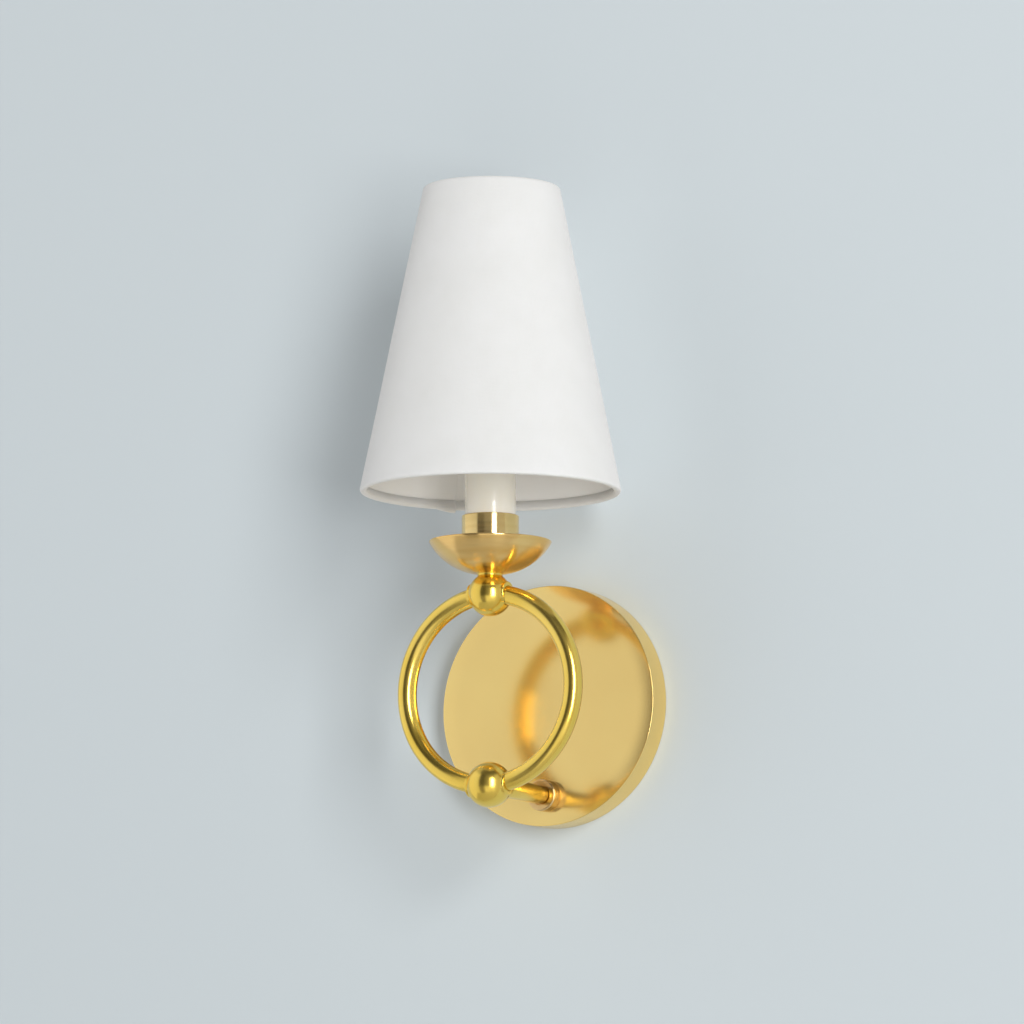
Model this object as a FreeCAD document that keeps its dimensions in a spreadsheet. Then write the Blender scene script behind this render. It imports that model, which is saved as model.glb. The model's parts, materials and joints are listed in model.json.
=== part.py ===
"""Fabric shade wall light: brass backplate, arm, ring between two balls, drip cup,
candle lampholder with bulb, and a clip-on linen shade.

Millimetres. The origin is the centre of the wall fixing, on the wall plane. +Z is up,
the wall is the plane y = 0 and the light stands out from it towards -Y.
"""

import FreeCAD, Part
import math
import os
import Sketcher
from FreeCAD import Placement, Rotation, Vector

DIMENSIONS = {
    # backplate, a spun pan open at the back
    "plate_diameter": 120.65,
    "plate_depth": 13.5,
    "plate_face_wall": 1.5,
    "plate_rim_wall": 1.2,
    "plate_edge": 0.6,
    # arm and ring
    "projection": 70.5,
    "arm_inset": 15.075,
    "arm_diameter": 9.5,
    "arm_tail": 1.0,
    "ring_radius": 47.2,
    "ring_tube": 9.5,
    "tube_wall": 1.0,
    "arm_collar_diameter": 16.0,
    "arm_collar_length": 6.2,
    "arm_collar_edge": 0.8,
    "arm_washer_thick": 1.0,
    "arm_washer_diameter": 17.0,
    "nut_wall": 2.2,
    "arm_nut_height": 4.0,
    "bush_flange": 1.0,
    "bush_length": 5.0,
    "bush_bore": 5.6,
    # balls
    "lower_ball": 22.5,
    "upper_ball": 21.6,
    "boss_wall": 1.15,
    "boss_height": 1.6,
    "tube_seat": 5.5,
    "wire_way": 6.0,
    # neck, cup and candle collar
    "neck_wall": 1.6,
    "neck_height": 1.75,
    "cup_rim": 60.6,
    "cup_depth": 16.3,
    "cup_wall": 1.2,
    "cup_lip": 0.5,
    "cup_floor": 1.4,
    "collar_wall": 1.45,
    "collar_height": 24.9,
    "collar_edge": 0.4,
    "collar_floor": 1.6,
    "collar_gap": 0.35,
    "collar_boss": 14.0,
    "sleeve_length": 85.0,
    "sleeve_wall": 1.5,
    "sleeve_fit": 0.1,
    "sleeve_room": 1.6,
    # threaded rod and its nuts
    "rod_diameter": 10.0,
    "rod_bore": 7.0,
    "rod_seat": 5.0,
    "rod_tail": 0.8,
    "lock_nut_height": 4.0,
    "bracket_nut_height": 3.0,
    # lampholder
    "bracket_thick": 1.0,
    "bracket_width": 8.0,
    "bracket_foot": 16.0,
    "bracket_lap": 12.0,
    "holder_recess": 2.0,
    "holder_height": 32.0,
    "holder_wall": 2.9,
    "holder_flat": 0.5,
    "holder_floor": 5.0,
    "shell_wall": 0.4,
    "shell_inset": 1.0,
    "contact_diameter": 5.0,
    "contact_height": 3.0,
    "rivet_rise": 6.0,
    "rivet_diameter": 3.0,
    "rivet_grip": 1.6,
    "rivet_head": 4.4,
    "rivet_head_thick": 0.7,
    # bulb with a candelabra screw base
    "base_gap": 0.3,
    "tip_diameter": 4.0,
    "tip_height": 1.3,
    "insulator_height": 2.6,
    "base_diameter": 11.8,
    "base_wall": 0.5,
    "base_height": 17.0,
    "glass_neck": 10.6,
    "glass_grip": 10.0,
    "glass_shoulder": 3.8,
    "glass_diameter": 35.0,
    "glass_lower": 25.0,
    "glass_upper": 49.5,
    "glass_tip_radius": 2.5,
    "glass_wall": 0.8,
    "stem_diameter": 3.6,
    "stem_height": 28.0,
    "filament_diameter": 1.6,
    "filament_length": 32.0,
    "filament_circle": 5.0,
    # bulb clip
    "clip_wire": 1.6,
    "clip_drop": 23.5,
    "clip_gap": 0.3,
    "clip_opening": 10.0,
    "pivot_rise": 9.5,
    "pivot_wall": 0.8,
    "pivot_length": 10.0,
    "pivot_fit": 0.08,
    # shade
    "shade_rise": 20.2,
    "shade_height": 153.2,
    "shade_bottom_diameter": 129.8,
    "shade_top_diameter": 67.8,
    "fabric_thick": 0.6,
    "liner_thick": 0.6,
    "hem_height": 4.8,
    "hem_cloth": 0.5,
    "ring_gap": 0.3,
    "shade_wire": 1.8,
    "spider_wire": 2.0,
    "spider_play": 4.0,
    "spider_run": 6.0,
    "spider_bend": 4.0,
    # wall strap and supply connection
    "strap_width": 14.0,
    "strap_thick": 1.6,
    "strap_clearance": 0.4,
    "box_hole_spacing": 69.85,
    "box_hole": 5.0,
    "strap_centre_hole": 10.0,
    "tab_clearance": 2.5,
    "screw_edge": 4.0,
    "screw_thread": 4.0,
    "rim_screw_length": 6.0,
    "screw_head": 7.0,
    "screw_head_thick": 2.2,
    "screw_play": 0.2,
    "hook_inset": 3.1,
    "hook_clearance": 3.8,
    "hook_lip": 6.0,
    "catch_gap": 0.3,
    "catch_overlap": 2.0,
    "catch_width": 10.0,
    "catch_thick": 1.2,
    "catch_lip": 8.0,
    "catch_foot": 8.0,
    "earth_side": 18.0,
    "lug_diameter": 8.0,
    "lug_thick": 0.8,
    "lug_barrel": 2.8,
    "lug_barrel_length": 5.0,
    "block_gap": 3.0,
    "block_height": 14.0,
    "block_width": 26.0,
    "block_clearance": 1.4,
    "block_pitch": 9.0,
    "block_entry": 3.0,
    "block_screw_thread": 3.0,
    "block_screw_head": 4.4,
    "terminal_head": 3.4,
    "terminal_head_thick": 0.8,
    # wires inside
    "wire": 1.7,
    "wire_offset": 1.2,
    "wire_bend": 3.0,
    "wire_grip": 4.0,
}

# Lengths worked out from the sheet, as expressions that the pieces share. First the
# backplate and the arm, as distances from the plate's centre and out from the wall.
PLATE_RADIUS = "(dim.plate_diameter / 2)"
PLATE_INSIDE = "(dim.plate_depth - dim.plate_face_wall)"
RIM_INSIDE = "(dim.plate_diameter / 2 - dim.plate_rim_wall)"
ARM_HEIGHT = f"(dim.arm_inset - {PLATE_RADIUS})"
ARM_NUT_BACK = f"({PLATE_INSIDE} - dim.arm_washer_thick - dim.arm_nut_height)"
ARM_BACK = f"({ARM_NUT_BACK} - dim.arm_tail)"

# The upright stack of ring, balls, neck, cup and candle, as heights.
RING_HEIGHT = f"({ARM_HEIGHT} + dim.ring_radius)"
UPPER_HEIGHT = f"({ARM_HEIGHT} + 2 * dim.ring_radius)"
BOSS_DIAMETER = "(dim.ring_tube + 2 * dim.boss_wall)"
NECK_RADIUS = "(dim.rod_diameter / 2 + dim.neck_wall)"
NECK_BOTTOM = f"({UPPER_HEIGHT} + sqrt((dim.upper_ball / 2)^2 - {NECK_RADIUS}^2))"
CUP_SEAT = f"({NECK_BOTTOM} + dim.neck_height)"
CUP_ARC = "(((dim.cup_rim / 2)^2 + dim.cup_depth^2) / (2 * dim.cup_depth))"
CUP_CENTRE = f"({CUP_SEAT} + sqrt({CUP_ARC}^2 - {NECK_RADIUS}^2))"
CUP_TOP = f"({CUP_CENTRE} - {CUP_ARC} + dim.cup_depth)"
CUP_INNER = f"({CUP_ARC} - dim.cup_wall)"
CUP_FLOOR = f"({CUP_SEAT} + dim.cup_floor)"
CUP_FLOOR_RADIUS = f"sqrt({CUP_INNER}^2 - ({CUP_CENTRE} - {CUP_FLOOR})^2)"
CUP_LIP_RADIUS = f"sqrt({CUP_INNER}^2 - ({CUP_CENTRE} - {CUP_TOP})^2)"

# The lampholder's widths build up from the bulb's base, and the sleeve goes over it.
SHELL_RADIUS = "(dim.base_diameter / 2 + dim.base_gap + dim.shell_wall)"
HOLDER_RADIUS = f"({SHELL_RADIUS} + dim.holder_wall)"
HOLDER_SIDE = f"({HOLDER_RADIUS} - dim.holder_flat)"
BRACKET_SIDE = f"({HOLDER_SIDE} + dim.bracket_thick)"
SLEEVE_BORE = f"({HOLDER_RADIUS} + dim.sleeve_room)"
SLEEVE_RADIUS = f"({SLEEVE_BORE} + dim.sleeve_wall)"
COLLAR_BORE = f"({SLEEVE_RADIUS} + dim.sleeve_fit)"
COLLAR_RADIUS = f"({COLLAR_BORE} + dim.collar_wall)"

COLLAR_BOTTOM = f"({CUP_CENTRE} - sqrt({CUP_INNER}^2 - {COLLAR_RADIUS}^2) + dim.collar_gap)"
COLLAR_TOP = f"({COLLAR_BOTTOM} + dim.collar_height)"
COLLAR_FLOOR = f"({COLLAR_BOTTOM} + dim.collar_floor)"
BRACKET_FOOT = f"({COLLAR_FLOOR} + dim.lock_nut_height)"
BRACKET_NUT = f"({BRACKET_FOOT} + dim.bracket_thick)"
ROD_TOP = f"({BRACKET_NUT} + dim.bracket_nut_height + dim.rod_tail)"
ROD_BOTTOM = f"({UPPER_HEIGHT} + dim.rod_seat)"
SLEEVE_TOP = f"({COLLAR_FLOOR} + dim.sleeve_length)"
HOLDER_TOP = f"({SLEEVE_TOP} - dim.holder_recess)"
HOLDER_BOTTOM = f"({HOLDER_TOP} - dim.holder_height)"
HOLDER_CAVITY = f"({HOLDER_BOTTOM} + dim.holder_floor)"
BRACKET_TOP = f"({HOLDER_BOTTOM} + dim.bracket_lap)"
RIVET_HEIGHT = f"({HOLDER_BOTTOM} + dim.rivet_rise)"

# The bulb. Its glass has a waist of two equal arcs, a long upper arc and a round tip.
BULB_BOTTOM = f"({HOLDER_CAVITY} + dim.contact_height + dim.base_gap)"
INSULATOR_BOTTOM = f"({BULB_BOTTOM} + dim.tip_height)"
BASE_BOTTOM = f"({INSULATOR_BOTTOM} + dim.insulator_height)"
BASE_TOP = f"({BASE_BOTTOM} + dim.base_height)"
GLASS_BOTTOM = f"({BASE_TOP} - dim.glass_grip)"
GLASS_SHOULDER = f"({BASE_TOP} + dim.glass_shoulder)"
GLASS_WIDE = f"({GLASS_SHOULDER} + dim.glass_lower)"
GLASS_TIP = f"({GLASS_WIDE} + dim.glass_upper)"
WAIST_STEP = "((dim.glass_diameter - dim.glass_neck) / 2)"
WAIST_ARC = f"((dim.glass_lower^2 + {WAIST_STEP}^2) / (4 * {WAIST_STEP}))"
TIP_RISE = "(dim.glass_upper - dim.glass_tip_radius)"
UPPER_ARC = (
    f"(((dim.glass_diameter / 2)^2 + {TIP_RISE}^2 - dim.glass_tip_radius^2)"
    " / (dim.glass_diameter - 2 * dim.glass_tip_radius))"
)

# The clip on the bulb's upper arc, and the shade that hangs from it.
CLIP_HEIGHT = f"({GLASS_TIP} - dim.clip_drop)"
CLIP_RADIUS = (
    f"(sqrt(({UPPER_ARC} + dim.clip_gap + dim.clip_wire / 2)^2 - ({CLIP_HEIGHT} - {GLASS_WIDE})^2)"
    f" - {UPPER_ARC} + dim.glass_diameter / 2)"
)
PIVOT_HEIGHT = f"({GLASS_TIP} + dim.pivot_rise)"
PIVOT_BORE = "(dim.spider_wire / 2 + dim.pivot_fit)"
PIVOT_RADIUS = f"({PIVOT_BORE} + dim.pivot_wall)"
SHADE_TOP = f"({PIVOT_HEIGHT} + dim.shade_rise)"
SHADE_BOTTOM = f"({SHADE_TOP} - dim.shade_height)"
SHADE_SLOPE = "((dim.shade_bottom_diameter - dim.shade_top_diameter) / 2 / dim.shade_height)"
BACKING = "(dim.fabric_thick + dim.liner_thick)"
HEM_DEPTH = f"({BACKING} + dim.ring_gap + dim.shade_wire + dim.hem_cloth)"

# The wall strap and the terminal block, as distances out from the wall and heights.
STRAP_LEFT = f"(sqrt({RIM_INSIDE}^2 - (dim.strap_width / 2)^2) - dim.strap_clearance)"
TAB_DEPTH = f"({PLATE_INSIDE} - dim.tab_clearance)"
SCREW_DEPTH = f"({TAB_DEPTH} - dim.screw_edge)"
HOOK_SIDE = f"({RIM_INSIDE} - dim.hook_inset)"
HOOK_DEPTH = f"({PLATE_INSIDE} - dim.hook_clearance)"
BLOCK_TOP = "(-dim.strap_width / 2 - dim.block_gap)"
BLOCK_BOTTOM = f"({BLOCK_TOP} - dim.block_height)"
BLOCK_FRONT = f"({PLATE_INSIDE} - dim.block_clearance)"
BLOCK_ENTRY = f"((dim.strap_thick + {BLOCK_FRONT}) / 2)"
LUG_AXIS = "(dim.strap_thick + (dim.lug_thick + dim.lug_barrel) / 2)"

OUT_OF_WALL = Rotation(Vector(1, 0, 0), 90)
TOWARDS_WALL = Rotation(Vector(1, 0, 0), -90)
TO_THE_RIGHT = Rotation(Vector(0, 1, 0), 90)

doc = FreeCAD.newDocument("wall_light")
sheet = doc.addObject("Spreadsheet::Sheet", "dim")
for row, (alias, amount) in enumerate(DIMENSIONS.items(), start=1):
    sheet.set(f"A{row}", alias)
    sheet.set(f"B{row}", str(amount))
    sheet.setAlias(f"B{row}", alias)
doc.recompute()

parts = []


def value(expression):
    """The number that an expression on the sheet gives, in millimetres or degrees."""
    return float(sheet.evalExpression(str(expression)))


def keep(item, label):
    """Name a finished piece and put it in the list of pieces."""
    item.Label = label
    parts.append(item)
    return item


def place(item, across="0", out="0", up="0", turn=None):
    """Place a piece: across along X, out from the wall, up along Z, and turned."""
    if turn is not None:
        item.Placement = Placement(Vector(0, 0, 0), turn)
    item.setExpression(".Placement.Base.x", str(across))
    item.setExpression(".Placement.Base.y", f"-({out})")
    item.setExpression(".Placement.Base.z", str(up))
    return item


def new_sketch(body, role, name):
    """A sketch on one of the body's own origin planes."""
    sketch = body.newObject("Sketcher::SketchObject", name)
    plane = next(item for item in body.Origin.OriginFeatures if item.Role == role)
    sketch.AttachmentSupport = [(plane, "")]
    sketch.MapMode = "FlatFace"
    return sketch


def bind(sketch, kind, edge, point, expression):
    """Tie one coordinate of a sketch point to an expression."""
    index = sketch.addConstraint(Sketcher.Constraint(kind, edge, point, value(expression)))
    sketch.setExpression(f"Constraints[{index}]", str(expression))


def arc_between(start, end, radius, side):
    """The arc of a radius from start to end that bends to one side, and its direction."""
    half = (end - start) * 0.5
    normal = Vector(-half.y, half.x, 0).normalize()
    rise = math.sqrt(radius ** 2 - half.Length ** 2)
    centre = (start + end) * 0.5 + normal * rise * side
    first = math.atan2(start.y - centre.y, start.x - centre.x)
    last = math.atan2(end.y - centre.y, end.x - centre.x)
    circle = Part.Circle(centre, Vector(0, 0, 1), radius)
    if side > 0:
        return Part.ArcOfCircle(circle, first, last), (1, 2)
    return Part.ArcOfCircle(circle, last, first), (2, 1)


def draw_outline(sketch, points):
    """Draw a closed outline through points.

    A point is (across, up) at the end of a straight run, or (across, up, radius, side) at
    the end of an arc of that radius whose centre lies left (1) or right (-1) of its run.
    """
    places = [Vector(value(corner[0]), value(corner[1]), 0) for corner in points]
    ends = []
    for index, corner in enumerate(points):
        start = places[index - 1]
        end = places[index]
        if len(corner) == 4:
            edge, order = arc_between(start, end, value(corner[2]), corner[3])
        else:
            edge, order = Part.LineSegment(start, end), (1, 2)
        sketch.addGeometry(edge, False)
        ends.append(order)
    for index, corner in enumerate(points):
        following = (index + 1) % len(points)
        sketch.addConstraint(Sketcher.Constraint(
            "Coincident", index, ends[index][1], following, ends[following][0]))
        bind(sketch, "DistanceX", index, ends[index][1], corner[0])
        bind(sketch, "DistanceY", index, ends[index][1], corner[1])
        if len(corner) == 4:
            radius = sketch.addConstraint(Sketcher.Constraint("Radius", index, value(corner[2])))
            sketch.setExpression(f"Constraints[{radius}]", str(corner[2]))
    return sketch


def draw_circle(sketch, across, up, diameter):
    """Draw a circle whose centre and diameter follow the sheet."""
    centre = Vector(value(across), value(up), 0)
    edge = sketch.addGeometry(Part.Circle(centre, Vector(0, 0, 1), value(diameter) / 2), False)
    bind(sketch, "DistanceX", edge, 3, across)
    bind(sketch, "DistanceY", edge, 3, up)
    size = sketch.addConstraint(Sketcher.Constraint("Diameter", edge, value(diameter)))
    sketch.setExpression(f"Constraints[{size}]", str(diameter))


def rectangle(left, low, right, high):
    """The corners of an upright rectangle."""
    return [(left, low), (right, low), (right, high), (left, high)]


def turned(label, outline):
    """A body turned about its own Z axis from a closed outline of (radius, height)."""
    body = doc.addObject("PartDesign::Body", label)
    sketch = draw_outline(new_sketch(body, "XZ_Plane", f"{label}_outline"), outline)
    revolve = body.newObject("PartDesign::Revolution", f"{label}_turned")
    revolve.Profile = sketch
    revolve.ReferenceAxis = (sketch, ["V_Axis"])
    revolve.Angle = 360
    return body


def padded(body, name, role, outline, length, both_ways=False):
    """Add a pad of an outline to a body."""
    pad = body.newObject("PartDesign::Pad", name)
    pad.Profile = draw_outline(new_sketch(body, role, f"{name}_outline"), outline)
    pad.setExpression("Length", str(length))
    pad.Midplane = both_ways
    return pad


def drilled(body, name, role, circles, length=None):
    """Cut round holes in a body, right through or a length along its plane's normal.

    Each circle is (across, up, diameter) on the plane.
    """
    sketch = new_sketch(body, role, f"{name}_places")
    for across, up, diameter in circles:
        draw_circle(sketch, across, up, diameter)
    doc.recompute()
    before = body.Shape.Volume
    pocket = body.newObject("PartDesign::Pocket", name)
    pocket.Profile = sketch
    if length is None:
        pocket.Type = "ThroughAll"
        pocket.Midplane = True
    else:
        pocket.Type = "Length"
        pocket.setExpression("Length", str(length))
    doc.recompute()
    if not body.Shape.Volume < before:
        raise RuntimeError(f"{name} cuts nothing")


def cylinder(name, diameter, length, across="0", out="0", up="0", turn=None):
    """A round bar whose axis is its own Z."""
    bar = doc.addObject("Part::Cylinder", name)
    bar.setExpression("Radius", f"({diameter}) / 2")
    bar.setExpression("Height", str(length))
    return place(bar, across, out, up, turn)


def box(name, length, width, height, across, out, up):
    """A block from its lower left corner nearest the room."""
    block = doc.addObject("Part::Box", name)
    block.setExpression("Length", str(length))
    block.setExpression("Width", str(width))
    block.setExpression("Height", str(height))
    return place(block, across, out, up)


def ball(name, diameter, across="0", out="0", up="0"):
    """A full sphere."""
    sphere = doc.addObject("Part::Sphere", name)
    sphere.setExpression("Radius", f"({diameter}) / 2")
    return place(sphere, across, out, up)


def torus(name, radius, diameter, out, up, turn=None, angle="360deg"):
    """A ring of round section, or an arc of one from its own +X."""
    ring = doc.addObject("Part::Torus", name)
    ring.setExpression("Radius1", str(radius))
    ring.setExpression("Radius2", f"({diameter}) / 2")
    ring.setExpression("Angle3", angle)
    return place(ring, "0", out, up, turn)


def joined(name, pieces):
    """Several primitives fused into one solid."""
    fuse = doc.addObject("Part::MultiFuse", name)
    fuse.Shapes = pieces
    fuse.Refine = True
    return fuse


def cut(name, base, tools):
    """A solid with other solids taken away."""
    difference = doc.addObject("Part::Cut", name)
    difference.Base = base
    difference.Tool = tools[0] if len(tools) == 1 else joined(f"{name}_tools", tools)
    difference.Refine = True
    return difference


def hex_nut(label, bore, height):
    """A hexagon nut, its axis along its own Z, its seat at z = 0."""
    body = doc.addObject("PartDesign::Body", label)
    corner_radius = f"(({bore} + 2 * dim.nut_wall) / sqrt(3))"
    corners = [60 * number for number in range(6)]
    outline = [(f"{corner_radius} * cos({angle}deg)", f"{corner_radius} * sin({angle}deg)")
               for angle in corners]
    padded(body, f"{label}_blank", "XY_Plane", outline, height)
    drilled(body, f"{label}_bore", "XY_Plane", [("0", "0", bore)])
    return keep(body, label)


def point(across, out, up):
    """A point from its distance across, out from the wall and up, each an expression."""
    return Vector(value(across), -value(out), value(up))


def bent_path(points, radii):
    """A path of straight runs joined by tangent arcs, one radius per inner point."""
    edges = []
    start = points[0]
    for index, radius in enumerate(radii, start=1):
        corner = points[index]
        inward = (corner - points[index - 1]).normalize()
        outward = (points[index + 1] - corner).normalize()
        half_turn = inward.getAngle(outward) / 2
        first = corner - inward * radius * math.tan(half_turn)
        last = corner + outward * radius * math.tan(half_turn)
        bisector = (outward - inward).normalize()
        middle = corner + bisector * (radius / math.cos(half_turn) - radius)
        edges.append(Part.LineSegment(start, first).toShape())
        edges.append(Part.Arc(first, middle, last).toShape())
        start = last
    edges.append(Part.LineSegment(start, points[-1]).toShape())
    return edges


def wire_piece(label, edges, diameter):
    """A round wire along a path, its volume checked against its section times its length."""
    path = Part.Wire(Part.__sortEdges__(edges))
    first = path.OrderedEdges[0]
    start = path.OrderedVertexes[0].Point
    starts_there = first.valueAt(first.FirstParameter).distanceToPoint(start) < 1e-6
    direction = first.tangentAt(first.FirstParameter if starts_there else first.LastParameter)
    section = Part.Wire(Part.Circle(start, direction, diameter / 2).toShape())
    item = doc.addObject("Part::Feature", label)
    item.Shape = path.makePipeShell([section], True, True)
    item.Placement = Placement()
    expected = math.pi * diameter ** 2 / 4 * path.Length
    if abs(item.Shape.Volume - expected) > 0.01 * expected:
        raise RuntimeError(f"{label}: volume {item.Shape.Volume:.1f}, expected {expected:.1f}")
    radii = [edge.Curve.Radius for edge in path.Edges if hasattr(edge.Curve, "Radius")]
    print(f"{label}: {path.Length:.1f} mm long, bends of", ", ".join(f"{r:.1f}" for r in radii))
    return keep(item, label)


def make_backplate():
    """The plate: a shallow pan with its arm hole and the side hole of its one screw."""
    plate = turned("backplate", [
        ("0", PLATE_INSIDE),
        (RIM_INSIDE, PLATE_INSIDE),
        (RIM_INSIDE, "0"),
        (PLATE_RADIUS, "0"),
        (PLATE_RADIUS, "dim.plate_depth - dim.plate_edge"),
        (f"{PLATE_RADIUS} - dim.plate_edge", "dim.plate_depth", "dim.plate_edge", 1),
        ("0", "dim.plate_depth"),
    ])
    drilled(plate, "plate_arm_hole", "XY_Plane", [("0", ARM_HEIGHT, "dim.arm_diameter")])
    drilled(plate, "plate_screw_hole", "YZ_Plane",
            [("0", SCREW_DEPTH, "dim.screw_thread + 2 * dim.screw_play")], PLATE_RADIUS)
    place(keep(plate, "backplate"), turn=OUT_OF_WALL)


def make_strap():
    """The wall strap: a bent bar with a screw tab, a hook and a tongue for the block."""
    strap = doc.addObject("PartDesign::Body", "mounting_strap")
    thick = "dim.strap_thick"
    padded(strap, "strap_bar", "XY_Plane", [
        (f"-{STRAP_LEFT}", "0"),
        (HOOK_SIDE, "0"),
        (HOOK_SIDE, f"-{HOOK_DEPTH}"),
        (f"{HOOK_SIDE} - dim.hook_lip", f"-{HOOK_DEPTH}"),
        (f"{HOOK_SIDE} - dim.hook_lip", f"{thick} - {HOOK_DEPTH}"),
        (f"{HOOK_SIDE} - {thick}", f"{thick} - {HOOK_DEPTH}"),
        (f"{HOOK_SIDE} - {thick}", f"-{thick}"),
        (f"{thick} - {STRAP_LEFT}", f"-{thick}"),
        (f"{thick} - {STRAP_LEFT}", f"-{TAB_DEPTH}"),
        (f"-{STRAP_LEFT}", f"-{TAB_DEPTH}"),
    ], "dim.strap_width", both_ways=True)
    padded(strap, "strap_tongue", "XZ_Plane", rectangle(
        "-dim.strap_width / 2", BLOCK_BOTTOM, "dim.strap_width / 2", "-dim.strap_width / 4"), thick)
    half = "dim.box_hole_spacing / 2"
    drilled(strap, "strap_holes", "XZ_Plane", [
        (half, "0", "dim.box_hole"),
        (f"-{half}", "0", "dim.box_hole"),
        ("0", "0", "dim.strap_centre_hole"),
        ("-dim.earth_side", "0", "dim.screw_thread"),
        ("dim.block_pitch / 2", f"({BLOCK_TOP} + {BLOCK_BOTTOM}) / 2", "dim.block_screw_thread"),
    ])
    drilled(strap, "strap_tab_hole", "YZ_Plane",
            [(f"-{SCREW_DEPTH}", "0", "dim.screw_thread")], PLATE_RADIUS)
    keep(strap, "mounting_strap")


def make_catch():
    """The angled catch inside the plate that hooks behind the strap's lip."""
    lip_front = f"({HOOK_DEPTH} - dim.strap_thick - dim.catch_gap)"
    lip_back = f"({lip_front} - dim.catch_thick)"
    lip_end = f"({HOOK_SIDE} - dim.hook_lip + dim.catch_overlap)"
    leg = f"({lip_end} - dim.catch_lip)"
    foot = f"({leg} - dim.catch_foot)"
    catch = doc.addObject("PartDesign::Body", "plate_catch")
    padded(catch, "catch_bar", "XY_Plane", [
        (foot, f"-{PLATE_INSIDE}"),
        (f"{leg} + dim.catch_thick", f"-{PLATE_INSIDE}"),
        (f"{leg} + dim.catch_thick", f"-{lip_front}"),
        (lip_end, f"-{lip_front}"),
        (lip_end, f"-{lip_back}"),
        (leg, f"-{lip_back}"),
        (leg, f"dim.catch_thick - {PLATE_INSIDE}"),
        (foot, f"dim.catch_thick - {PLATE_INSIDE}"),
    ], "dim.catch_width", both_ways=True)
    keep(catch, "plate_catch")


def make_wall_screws():
    """The rim screw that holds the plate, and the earth screw with its lug."""
    head_side = f"(-{PLATE_RADIUS} - dim.screw_head_thick)"
    head = cylinder("rim_screw_head", "dim.screw_head", "dim.screw_head_thick",
                    head_side, SCREW_DEPTH, "0", TO_THE_RIGHT)
    shank = cylinder("rim_screw_shank", "dim.screw_thread", "dim.rim_screw_length",
                     f"-{PLATE_RADIUS}", SCREW_DEPTH, "0", TO_THE_RIGHT)
    slot = box("rim_screw_slot", "dim.screw_head_thick / 2", "dim.screw_head",
               "dim.screw_head_thick / 2", head_side, f"{SCREW_DEPTH} + dim.screw_head / 2",
               "-dim.screw_head_thick / 4")
    keep(cut("rim_screw", joined("rim_screw_blank", [head, shank]), [slot]), "rim_screw")

    side = "-dim.earth_side"
    lug_front = "(dim.strap_thick + dim.lug_thick)"
    barrel_side = f"({side} + dim.lug_diameter / 2 - dim.lug_thick)"
    head = cylinder("earth_screw_head", "dim.screw_head", "dim.screw_head_thick",
                    side, lug_front, "0", OUT_OF_WALL)
    shank = cylinder("earth_screw_shank", "dim.screw_thread", lug_front, side, "0", "0", OUT_OF_WALL)
    keep(joined("earth_screw", [head, shank]), "earth_screw")

    eye = cylinder("lug_eye", "dim.lug_diameter", "dim.lug_thick",
                   side, "dim.strap_thick", "0", OUT_OF_WALL)
    barrel = cylinder("lug_tube", "dim.lug_barrel", "dim.lug_barrel_length", barrel_side,
                      LUG_AXIS, "0", TO_THE_RIGHT)
    bore = cylinder("lug_bore", "dim.wire", "dim.lug_barrel_length", f"{barrel_side} + dim.lug_thick",
                    LUG_AXIS, "0", TO_THE_RIGHT)
    hole = cylinder("lug_hole", "dim.screw_thread", "dim.lug_thick",
                    side, "dim.strap_thick", "0", OUT_OF_WALL)
    room = cylinder("lug_room", "dim.screw_head", "dim.screw_head_thick",
                    side, lug_front, "0", OUT_OF_WALL)
    keep(cut("earth_lug", joined("lug_blank", [eye, barrel]), [hole, room, bore]), "earth_lug")


def make_terminal_block():
    """A three-way terminal block on the strap's tongue, with its screws."""
    block = doc.addObject("PartDesign::Body", "terminal_block")
    half = "dim.block_width / 2"
    middle = f"({BLOCK_TOP} + {BLOCK_BOTTOM}) / 2"
    ways = ["-dim.block_pitch", "0", "dim.block_pitch"]
    padded(block, "block_blank", "XZ_Plane", rectangle(f"-{half}", BLOCK_BOTTOM, half, BLOCK_TOP),
           f"{BLOCK_FRONT} - dim.strap_thick")
    drilled(block, "block_entries", "XY_Plane", [
        (way, f"dim.strap_thick - {BLOCK_ENTRY}", "dim.block_entry") for way in ways])
    drilled(block, "block_fixing", "XZ_Plane", [("dim.block_pitch / 2", middle, "dim.block_screw_thread")])
    place(keep(block, "terminal_block"), out="dim.strap_thick")

    screws = []
    for way in ways:
        for share in (0.25, 0.75):
            screws.append(cylinder(
                f"terminal_screw_{len(screws)}", "dim.terminal_head", "dim.terminal_head_thick",
                way, BLOCK_FRONT, f"{BLOCK_TOP} - dim.block_height * {share}", OUT_OF_WALL))
    group = doc.addObject("Part::Compound", "terminal_screws")
    group.Links = screws
    keep(group, "terminal_screws")

    head = cylinder("block_screw_head", "dim.block_screw_head", "dim.terminal_head_thick",
                    "dim.block_pitch / 2", BLOCK_FRONT, middle, OUT_OF_WALL)
    shank = cylinder("block_screw_shank", "dim.block_screw_thread", BLOCK_FRONT,
                     "dim.block_pitch / 2", "0", middle, OUT_OF_WALL)
    keep(joined("block_screw", [head, shank]), "block_screw")


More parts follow.
